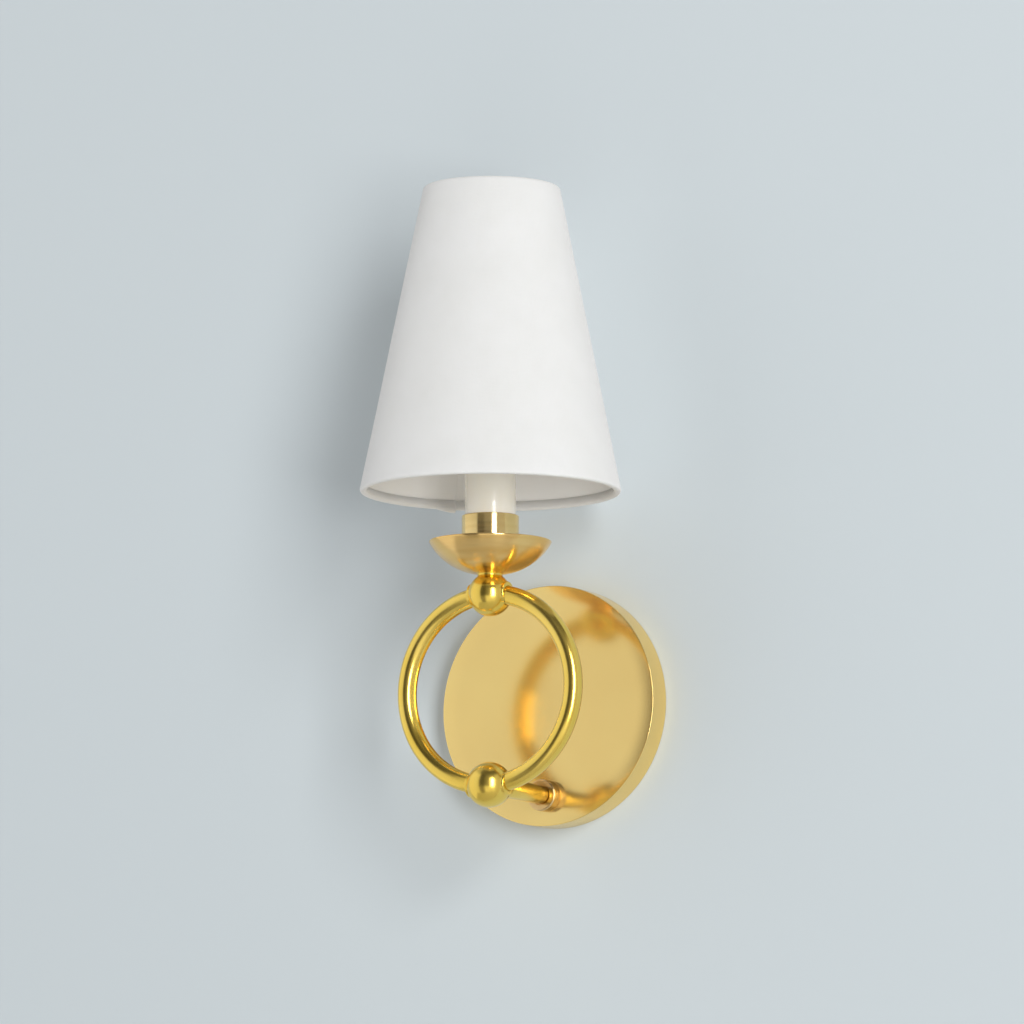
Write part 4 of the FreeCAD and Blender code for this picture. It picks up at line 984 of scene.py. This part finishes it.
@dataclass
class Candle:
    """What stands on the ring: neck, drip cup, collar and sleeve."""

    neck_cove: float = 1.15
    cup_bow: float = 30.5
    cup_wall: float = 1.2
    cup_lip: float = 0.5
    cup_lip_edge: float = 0.35
    cup_floor: float = 1.4
    collar_wall: float = 1.45
    collar_floor: float = 1.6
    collar_boss: float = 14.0
    collar_foot_edge: float = 0.3
    collar_rim_edge: float = 0.45
    collar_bore_edge: float = 0.25
    sleeve_wall: float = 1.5
    sleeve_foot_edge: float = 0.2
    sleeve_rim_edge: float = 0.4
    sleeve_bore_edge: float = 0.3
    rod: Span = packed("threaded_rod")
    neck: Span = packed("neck_spacer")
    cup: Span = packed("drip_cup")
    collar: Span = packed("candle_collar")
    sleeve: Span = packed("candle_sleeve")

    @property
    def bore(self) -> float:
        """The radius of the hole for the rod."""
        return self.rod.size.x / 2

    def build(self) -> None:
        """Turn the four pieces from the bottom up."""
        self.stack(self.neck_outline(), "neck", BALL_BRASS, "neck_spacer")
        self.stack(self.cup_outline(), "drip_bowl", CUP_BRASS, "drip_cup")
        collar = self.stack(self.collar_outline(), "sleeve_collar", COLLAR_BRASS,
                            "candle_collar")
        level_faces(collar)
        self.stack(self.sleeve_outline(), "candle_tube", CREAM_SLEEVE, "candle_sleeve")

    def stack(self, lathe: Lathe, name: str, finish: Finish, node: str) -> bpy.types.Object:
        """Turn a closed outline about the candle's axis and hand it over.

        Args:
            lathe: The outline.
            name: The piece's name.
            finish: What its surface is.
            node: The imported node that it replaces.

        Returns:
            The new piece.
        """
        mesh = lathe.turned(self.sleeve.foot, closed=True)
        return hand_over(mesh, name, finish, "root", [node])

    def neck_outline(self) -> Lathe:
        """The short spacer between ball and cup, with a cove round it."""
        radius, low, high = self.neck.size.x / 2, self.neck.low.z, self.neck.high.z
        lathe = Lathe(steps=128).corner(self.bore, low).corner(radius, low)
        return lathe.bow_to(radius, high, -self.neck_cove, steps=10).corner(self.bore, high)

    def cup_outline(self) -> Lathe:
        """The bowl: one arc outside, one inside, and a rolled lip."""
        seat, rim = self.neck.size.x / 2, self.cup.size.x / 2
        top, bottom = self.cup.high.z - self.cup_lip, self.cup.low.z
        chord = Vector((rim - seat, top - bottom))
        middle = Vector((seat, bottom)) + chord / 2
        reach = math.sqrt(self.cup_bow ** 2 - chord.length_squared / 4)
        centre = middle + Vector((-chord.y, chord.x)).normalized() * reach
        inner = self.cup_bow - self.cup_wall
        floor = bottom + self.cup_floor
        floor_radius, lip = (centre.x + math.sqrt(inner ** 2 - (centre.y - height) ** 2)
                             for height in (floor, top))
        lathe = Lathe(steps=256).corner(self.bore, bottom).corner(seat, bottom)
        lathe.bow_to(rim, top, self.cup_bow, steps=40)
        lathe.corner(rim, self.cup.high.z, self.cup_lip_edge)
        lathe.corner(lip, self.cup.high.z, self.cup_lip_edge)
        lathe.corner(lip, top).bow_to(floor_radius, floor, -inner, steps=36)
        return lathe.corner(self.bore, floor)

    def collar_outline(self) -> Lathe:
        """The turned cup that holds the sleeve, with a boss down to the bowl's floor."""
        low, high, inside = self.collar.low.z, self.collar.high.z, self.sleeve.low.z
        boss, radius = self.collar_boss / 2, self.collar.size.x / 2
        hole = radius - self.collar_wall
        base = inside - self.collar_floor
        lathe = Lathe(steps=192).corner(self.bore, low).corner(boss, low).corner(boss, base)
        lathe.corner(radius, base, self.collar_foot_edge).corner(radius, high, self.collar_rim_edge)
        lathe.corner(hole, high, self.collar_bore_edge).corner(hole, inside)
        return lathe.corner(self.bore, inside)

    def sleeve_outline(self) -> Lathe:
        """The plain cream tube."""
        radius, low, high = self.sleeve.size.x / 2, self.sleeve.low.z, self.sleeve.high.z
        inner = radius - self.sleeve_wall
        lathe = Lathe(steps=160).corner(inner, low).corner(radius, low, self.sleeve_foot_edge)
        lathe.corner(radius, high, self.sleeve_rim_edge)
        return lathe.corner(inner, high, self.sleeve_bore_edge)


@dataclass
class Bulb:
    """The candle bulb: blown glass over a screw cap."""

    wall: float = 0.8
    neck: float = 10.6
    shoulder: float = 3.8
    lower: float = 25.0
    tip: float = 2.5
    foot_edge: float = 1.2
    cap_wall: float = 0.3
    cap_step: float = 0.3
    cap_foot: float = 1.2
    cap_slope: float = 0.4
    thread_pitch: float = 2.54
    thread_depth: float = 0.32
    thread_start: float = 1.6
    thread_end: float = 3.0
    glass: Span = packed("bulb_glass")
    cap: Span = packed("bulb_base")

    def build(self) -> None:
        """Blow the glass and roll the cap."""
        self.blow_glass()
        self.roll_cap()

    def blow_glass(self) -> None:
        """The flame shape: a waist of two arcs, a long arc and a round tip."""
        wide, neck = self.glass.size.x / 2, self.neck / 2
        bottom, top = self.glass.low.z, self.glass.high.z
        shoulder = self.cap.high.z + self.shoulder
        widest = shoulder + self.lower
        step = wide - neck
        waist_bend = (self.lower ** 2 + step ** 2) / (4 * step)
        rise = top - self.tip - widest
        long_bend = (wide ** 2 + rise ** 2 - self.tip ** 2) / (2 * wide - 2 * self.tip)
        turn = math.asin(rise / (long_bend - self.tip))
        lathe = Lathe(steps=128).corner(0, bottom).corner(neck, bottom, self.foot_edge)
        lathe.corner(neck, shoulder)
        lathe.bow_to((wide + neck) / 2, shoulder + self.lower / 2, -waist_bend, steps=14)
        lathe.bow_to(wide, widest, waist_bend, steps=14)
        lathe.bow_to(self.tip * math.cos(turn), top - self.tip + self.tip * math.sin(turn), long_bend,
                     steps=36)
        lathe.bow_to(0, top, self.tip, steps=8)
        mesh = lathe.turned(self.glass.foot)
        piece = hand_over(mesh, "bulb_envelope", BULB_GLASS, "bulb", ["bulb_glass"])
        add_wall(piece, "glass_wall", self.wall)

    def roll_cap(self) -> None:
        """The thin metal cap with its rolled thread."""
        foot = self.cap.foot
        radius = self.cap.size.x / 2
        low, high = self.cap.low.z, self.cap.high.z
        rows = int((high - low) / self.cap_step)
        lathe = Lathe(steps=96).corner(radius - self.cap_foot, low)
        lathe.corner(radius - self.cap_slope, low + self.cap_slope)
        for row in range(2, rows - 1):
            lathe.corner(radius, low + (high - low) * row / rows)
        lathe.corner(radius, high)
        mesh = lathe.turned(foot)
        start, end = low + self.thread_start, high - self.thread_end
        for point in mesh.verts:
            if start < point.co.z < end:
                out = Vector((point.co.x - foot.x, point.co.y - foot.y, 0))
                turns = point.co.z / self.thread_pitch - math.atan2(out.y, out.x) / math.tau
                fade = min(1.0, point.co.z - start, end - point.co.z)
                groove = self.thread_depth * fade * (1 + math.cos(math.tau * turns))
                point.co -= out.normalized() * groove
        piece = hand_over(mesh, "bulb_screw_cap", CAP_ALUMINIUM, "bulb", ["bulb_base"])
        add_wall(piece, "cap_wall", self.cap_wall)


@dataclass
class Shade:
    """The linen cone, its hard backing and their turned-in hems."""

    MAP = "cloth"

    top_radius: float = 33.9
    cloth: float = 0.5
    backing: float = 1.2
    backing_inset: float = 0.9
    backing_gap: float = 0.05
    wire: float = 1.8
    wire_gap: float = 0.3
    hem_height: float = 4.8
    edge: float = 1.6
    crease: float = 60.0
    seam_azimuth: float = -133.4
    seam_width: float = 9.0
    seam_rise: float = 0.55
    seam_slope: float = 0.006
    seam_edge: float = 0.1
    rim_swell: float = 0.9
    unevenness: float = 0.12
    unevenness_size: float = 34.0
    cone: Span = packed("shade_fabric")

    @property
    def slope(self) -> float:
        """How much the radius shrinks for each millimetre of height."""
        return (self.cone.size.x / 2 - self.top_radius) / self.cone.size.z

    @property
    def seam(self) -> float:
        """The seam's azimuth in radians."""
        return math.radians(self.seam_azimuth)

    def radius(self, height: float, inset: float = 0.0) -> float:
        """The cone's radius at a height, less an inset."""
        return self.cone.size.x / 2 - self.slope * (height - self.cone.low.z) - inset

    def build(self) -> None:
        """Make the cloth and its backing."""
        cloth = self.cover()
        self.line()

    def cover(self, rows: int = 24) -> bpy.types.Object:
        """One cloth: over the cone in so many rows, round both wires and back up inside."""
        low, high = self.cone.low.z, self.cone.high.z
        wire_inset = self.backing + self.wire_gap + self.wire / 2
        rise = self.cloth + self.wire / 2
        lay = self.backing + self.cloth
        lathe = Lathe(steps=300)
        lathe.corner(self.radius(low + self.hem_height, lay), low + self.hem_height)
        centre = self.radius(low, wire_inset)
        lathe.corner(centre - rise, low + rise).bow(centre, low + rise, degrees=90, steps=8)
        lathe.corner(self.radius(low), low, self.edge)
        for row in range(1, rows):
            height = low + (high - low) * row / rows
            lathe.corner(self.radius(height), height)
        lathe.corner(self.radius(high), high, self.edge)
        centre = self.radius(high, wire_inset)
        lathe.corner(centre, high).bow(centre, high - rise, degrees=90, steps=8)
        lathe.corner(self.radius(high - self.hem_height, lay), high - self.hem_height)
        mesh = lathe.turned(self.cone.foot)
        widest = max(mesh.faces, key=lambda face: self.outwards(face.calc_center_median()).length)
        if widest.normal.dot(self.outwards(widest.calc_center_median())) < 0:
            bmesh.ops.reverse_faces(mesh, faces=mesh.faces)
        self.lap(mesh, inner_skin=False)
        self.weave(mesh)
        piece = hand_over(mesh, "linen_cover", SHADE_LINEN, "shade",
                          ["shade_fabric", "shade_top_hem", "shade_bottom_hem"], self.crease)
        add_wall(piece, "cloth", self.cloth)
        return piece

    def line(self) -> None:
        """The stiff backing inside the cloth."""
        low, high = self.cone.low.z + self.backing_inset, self.cone.high.z - self.backing_inset
        inner, outer = self.backing, self.cloth + self.backing_gap
        lathe = Lathe(steps=300).corner(self.radius(low, inner), low)
        lathe.corner(self.radius(low, outer), low).corner(self.radius(high, outer), high)
        lathe.corner(self.radius(high, inner), high)
        mesh = lathe.turned(self.cone.foot, closed=True)
        upright = [edge for edge in mesh.edges
                   if abs(edge.verts[0].co.z - edge.verts[1].co.z) > self.hem_height]
        bmesh.ops.subdivide_edges(mesh, edges=upright, cuts=16, use_grid_fill=True)
        self.lap(mesh, inner_skin=True)
        self.weave(mesh)
        hand_over(mesh, "shade_backing", SHADE_BACKING, "shade", ["shade_liner"])

    def outwards(self, point: Vector) -> Vector:
        """The level line from the shade's axis to a point."""
        out = point - self.cone.foot
        out.z = 0
        return out

    def lap(self, mesh: bmesh.types.BMesh, inner_skin: bool) -> None:
        """Raise the strip where one end of the layer laps over the other.

        Args:
            mesh: The layer.
            inner_skin: Whether only the layer's inner skin rises.
        """
        for swing in (0.0, self.seam_slope):
            across = Vector((math.cos(self.seam + swing), math.sin(self.seam + swing), 0))
            bmesh.ops.bisect_plane(mesh, geom=list(mesh.verts) + list(mesh.edges) + list(mesh.faces),
                                   plane_co=self.cone.foot, plane_no=across, dist=1e-6)
        mesh.normal_update()
        for point in mesh.verts:
            out = self.outwards(point.co)
            along = nearest_turn(math.atan2(out.x, -out.y) - self.seam) * out.length
            if inner_skin and point.normal.dot(out) > 0:
                continue
            if self.seam_edge < along < self.seam_width:
                share = 1 - (along / self.seam_width) ** 2
                rise = self.seam_rise + self.rim_swell * max(0.0, -point.normal.z)
                point.co += point.normal * rise * share

    def weave(self, mesh: bmesh.types.BMesh) -> None:
        """Let the layer waver a little, and lay its map out as the flat cloth was cut.

        Args:
            mesh: The layer.
        """
        for point in mesh.verts:
            waver = noise.noise(point.co / self.unevenness_size)
            point.co += self.outwards(point.co).normalized() * waver * self.unevenness
        layer = mesh.loops.layers.uv.new(self.MAP)
        lean = math.atan(self.slope)
        apex = self.cone.size.x / 2 / self.slope
        length = mesh.verts.layers.float[Lathe.LENGTH]
        for face in mesh.faces:
            middle = self.outwards(face.calc_center_median())
            facing = (math.atan2(middle.x, -middle.y) - self.seam) % math.tau
            for loop in face.loops:
                out = self.outwards(loop.vert.co)
                swing = nearest_turn(math.atan2(out.x, -out.y) - self.seam - facing)
                flat_turn = (swing + facing - math.pi) * math.sin(lean)
                slant = apex / math.cos(lean) - loop.vert[length]
                loop[layer].uv = (slant * math.sin(flat_turn), -slant * math.cos(flat_turn))


@dataclass
class Studio:
    """The plain wall, floor and lamps, and the camera at the photograph's place.

    The camera was found from the plate's two ellipses and the upright candle: it stands to
    the right of the light and a little below it.
    """

    azimuth: float = 30.05
    elevation: float = -8.36
    distance: float = 4000.0
    roll: float = 0.218
    target: tuple[float, float, float] = (-28.43, 0.0, 101.38)
    focal_pixels: float = 7940.0
    picture: float = 1024.0
    sensor: float = 36.0
    nearest: float = 100.0
    farthest: float = 50000.0
    wall_gap: float = 0.4
    floor_height: float = -1600.0
    stage_size: float = 3200.0
    wall_colour: str = "#D7E0E4"
    floor_colour: str = "#E2E2DF"
    backdrop: str = "#D6DBDE"
    matt: float = 0.9
    key_azimuth: float = 46.0
    key_elevation: float = 6.0
    key_distance: float = 6000.0
    key_width: float = 1600.0
    key_height: float = 4400.0
    key_radiance: float = 10.5

    # greys of the studio all round by azimuth: below the light, level with it and overhead
    BELOW: ClassVar = ((-180, 0.6), (-110, 0.6), (-95, 0.85), (-60, 0.9), (-27, 0.75), (-21, 0.25),
                       (3, 0.25), (8, 0.9), (60, 0.9), (66, 0.6), (95, 0.6), (179, 0.6))
    LEVEL: ClassVar = ((-180, 0.66), (-110, 0.66), (-95, 0.9), (-60, 0.92), (-27, 0.8), (-21, 0.08),
                       (5, 0.09), (9, 0.2), (58, 0.2), (66, 0.58), (95, 0.58), (179, 0.6))
    OVERHEAD: ClassVar = ((-180, 0.55), (-45, 0.5), (-32, 0.12), (90, 0.12), (100, 0.5), (179, 0.55))
    # the sines of the elevations between which one band turns into the next
    LOWER_JOIN: ClassVar = (-0.27, -0.15)
    UPPER_JOIN: ClassVar = (0.67, 0.77)

    def build(self) -> None:
        """Set up everything that isn't the light itself."""
        self.set_camera()
        self.paint_wall()
        self.lay_floor()
        self.hang_key()
        self.paint_surroundings()
        bpy.context.scene.view_settings.view_transform = "Standard"

    def set_camera(self) -> None:
        """Stand the camera where the photograph was taken."""
        back = towards(self.azimuth, self.elevation)
        data = bpy.data.cameras.new("view")
        data.sensor_width = self.sensor
        data.lens = self.focal_pixels / self.picture * self.sensor
        data.clip_start, data.clip_end = self.nearest * METRES, self.farthest * METRES
        camera = bpy.data.objects.new("view", data)
        camera.location = (Vector(self.target) + back * self.distance) * METRES
        camera.rotation_mode = "QUATERNION"
        level = (-back).to_track_quat("-Z", "Y").to_matrix()
        tilt = Matrix.Rotation(math.radians(self.roll), 3, "Z")
        camera.rotation_quaternion = (level @ tilt).to_quaternion()
        bpy.context.scene.collection.objects.link(camera)
        bpy.context.scene.camera = camera

    def stand(self, name: str, place: Matrix, material: bpy.types.Material) -> None:
        """Add a flat square to the stage.

        Args:
            name: Its name.
            place: Where it goes and how it is turned.
            material: Its material.
        """
        mesh = bmesh.new()
        bmesh.ops.create_grid(mesh, x_segments=1, y_segments=1, size=self.stage_size / 2, matrix=place)
        mesh.transform(Matrix.Scale(METRES, 4))
        piece = as_object(mesh, name)
        piece.data.materials.append(material)
        bpy.context.scene.collection.objects.link(piece)

    def matt_paint(self, name: str, colour: str, open_to: Sequence[str] = ()) -> bpy.types.Material:
        """A matt paint that shows from its front alone, and from behind lets everything through.

        Args:
            name: The material's name.
            colour: Its colour as sRGB hex.
            open_to: The Light Path outputs of the rays that pass it from both sides.

        Returns:
            The material.
        """
        paint = Paint(Finish(name, colour, self.matt))
        tree = paint.tree
        clear = add_node(tree, "ShaderNodeBsdfTransparent")
        passing = add_node(tree, "ShaderNodeNewGeometry").outputs["Backfacing"]
        ray = add_node(tree, "ShaderNodeLightPath")
        for kind in open_to:
            passing = add_node(tree, "ShaderNodeMath", {0: passing, 1: ray.outputs[kind]},
                               operation="MAXIMUM").outputs[0]
        mix = add_node(tree, "ShaderNodeMixShader", {0: passing, 1: paint.shader.outputs[0],
                                                     2: clear.outputs[0]})
        tree.links.new(mix.outputs[0], tree.nodes["Material Output"].inputs["Surface"])
        return paint.material

    def paint_wall(self) -> None:
        """A matt wall close behind the plate, which leaves the light's back lit as well."""
        material = self.matt_paint("matt_wall_paint", self.wall_colour,
                                   ("Is Shadow Ray", "Is Diffuse Ray"))
        self.stand("wall", Matrix.Translation((0, self.wall_gap, 0)) @ Axis.OUT_OF_WALL.value, material)

    def lay_floor(self) -> None:
        """A pale floor well below the light."""
        material = self.matt_paint("pale_floor", self.floor_colour)
        self.stand("floor", Matrix.Translation((0, 0, self.floor_height)), material)

    def hang_key(self) -> None:
        """The tall softbox to the right of the camera."""
        out = towards(self.key_azimuth, self.key_elevation)
        data = bpy.data.lights.new("softbox", "AREA")
        data.shape = "RECTANGLE"
        data.size, data.size_y = self.key_width * METRES, self.key_height * METRES
        data.energy = self.key_radiance * math.pi * data.size * data.size_y
        lamp = bpy.data.objects.new("softbox", data)
        lamp.location = out * self.key_distance * METRES
        lamp.rotation_mode = "QUATERNION"
        lamp.rotation_quaternion = out.to_track_quat("Z", "Y")
        lamp.visible_camera = False
        bpy.context.scene.collection.objects.link(lamp)

    def paint_surroundings(self) -> None:
        """The studio all round: a pale fill on the left, dark flags beside the camera and
        the softbox, a dark ceiling in front, and a plain pale backdrop for the camera."""
        world = bpy.data.worlds.new("studio")
        world.use_nodes = True
        bpy.context.scene.world = world
        tree = world.node_tree
        tree.nodes.clear()
        coordinates = add_node(tree, "ShaderNodeTexCoord")
        parts = add_node(tree, "ShaderNodeSeparateXYZ", {0: coordinates.outputs["Generated"]})
        away = add_node(tree, "ShaderNodeMath", {0: parts.outputs["Y"]}, {1: -1.0},
                        operation="MULTIPLY")
        bearing = add_node(tree, "ShaderNodeMath", {0: parts.outputs["X"], 1: away.outputs[0]},
                           operation="ARCTAN2")
        share = add_node(tree, "ShaderNodeMapRange", {"Value": bearing.outputs[0]},
                         {"From Min": -math.pi, "From Max": math.pi}).outputs["Result"]
        colour = self.band(tree, share, self.BELOW)
        for stops, (start, end) in ((self.LEVEL, self.LOWER_JOIN), (self.OVERHEAD, self.UPPER_JOIN)):
            height = add_node(tree, "ShaderNodeMapRange", {"Value": parts.outputs["Z"]},
                              {"From Min": start, "From Max": end})
            joined = add_node(tree, "ShaderNodeMix", {
                "Factor": height.outputs["Result"], COLOUR_A: colour,
                COLOUR_B: self.band(tree, share, stops)}, data_type="RGBA")
            colour = joined.outputs[COLOUR_OUT]
        room = add_node(tree, "ShaderNodeBackground", {"Color": colour})
        plain = add_node(tree, "ShaderNodeBackground", values={"Color": linear(self.backdrop)})
        ray = add_node(tree, "ShaderNodeLightPath")
        mix = add_node(tree, "ShaderNodeMixShader", {0: ray.outputs["Is Camera Ray"],
                                                     1: room.outputs[0], 2: plain.outputs[0]})
        add_node(tree, "ShaderNodeOutputWorld", {"Surface": mix.outputs[0]})

    def band(self, tree: bpy.types.NodeTree, share: Socket,
             stops: Sequence[tuple[float, float]]) -> Socket:
        """One band of the studio's walls, in greys by azimuth.

        Args:
            tree: The world's node tree.
            share: The socket of the azimuth, from 0 at -180 degrees to 1 at 180.
            stops: Azimuths in degrees, each with its grey.

        Returns:
            The socket of the band's colour.
        """
        node = add_node(tree, "ShaderNodeValToRGB", {"Fac": share})
        elements = node.color_ramp.elements
        elements.remove(elements[-1])
        for index, (azimuth, grey) in enumerate(stops):
            place = (azimuth + 180) / 360
            element = elements.new(place) if index else elements[0]
            element.position = place
            element.color = (grey, grey, grey, 1.0)
        return node.outputs["Color"]


FIXINGS = {
    PLAIN_BRASS: ["rim_screw", "earth_lug", "lampholder_contact", "lampholder_shell",
                  "terminal_screws"],
    BRIGHT_ZINC: ["mounting_strap", "plate_catch", "arm_washer", "arm_nut", "threaded_rod",
                  "lock_nut", "bracket_nut", "lampholder_bracket", "lampholder_rivet",
                  "block_screw"],
    GREEN_SCREW: ["earth_screw"],
    WHITE_NYLON: ["terminal_block", "arm_bushing"],
    BLACK_PHENOLIC: ["lampholder_body"],
    BLACK_WIRE: ["live_wire"],
    WHITE_WIRE: ["neutral_wire"],
    GREEN_WIRE: ["earth_wire"],
    CAP_ALUMINIUM: ["bulb_contact"],
    BLACK_GLASS: ["bulb_insulator"],
    BULB_GLASS: ["bulb_stem"],
    FILAMENT: ["bulb_filament"],
    NICKEL_WIRE: ["clip_loops", "clip_sleeve", "shade_spider", "shade_top_ring",
                  "shade_bottom_ring"],
}


def main() -> None:
    """Load the frame, build the light and its studio, and give the kept nodes their finishes."""
    logging.basicConfig(level=logging.INFO, format="%(name)s: %(message)s")
    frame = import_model()
    Studio().build()
    for sub_assembly in (WallPlate(), Arm(), Ring(), Candle(), Bulb(), Shade()):
        LOG.info("building the %s", type(sub_assembly).__name__)
        sub_assembly.build()
    for finish, nodes in FIXINGS.items():
        dress_nodes(frame, nodes, finish)


if __name__ == "__main__":
    main()
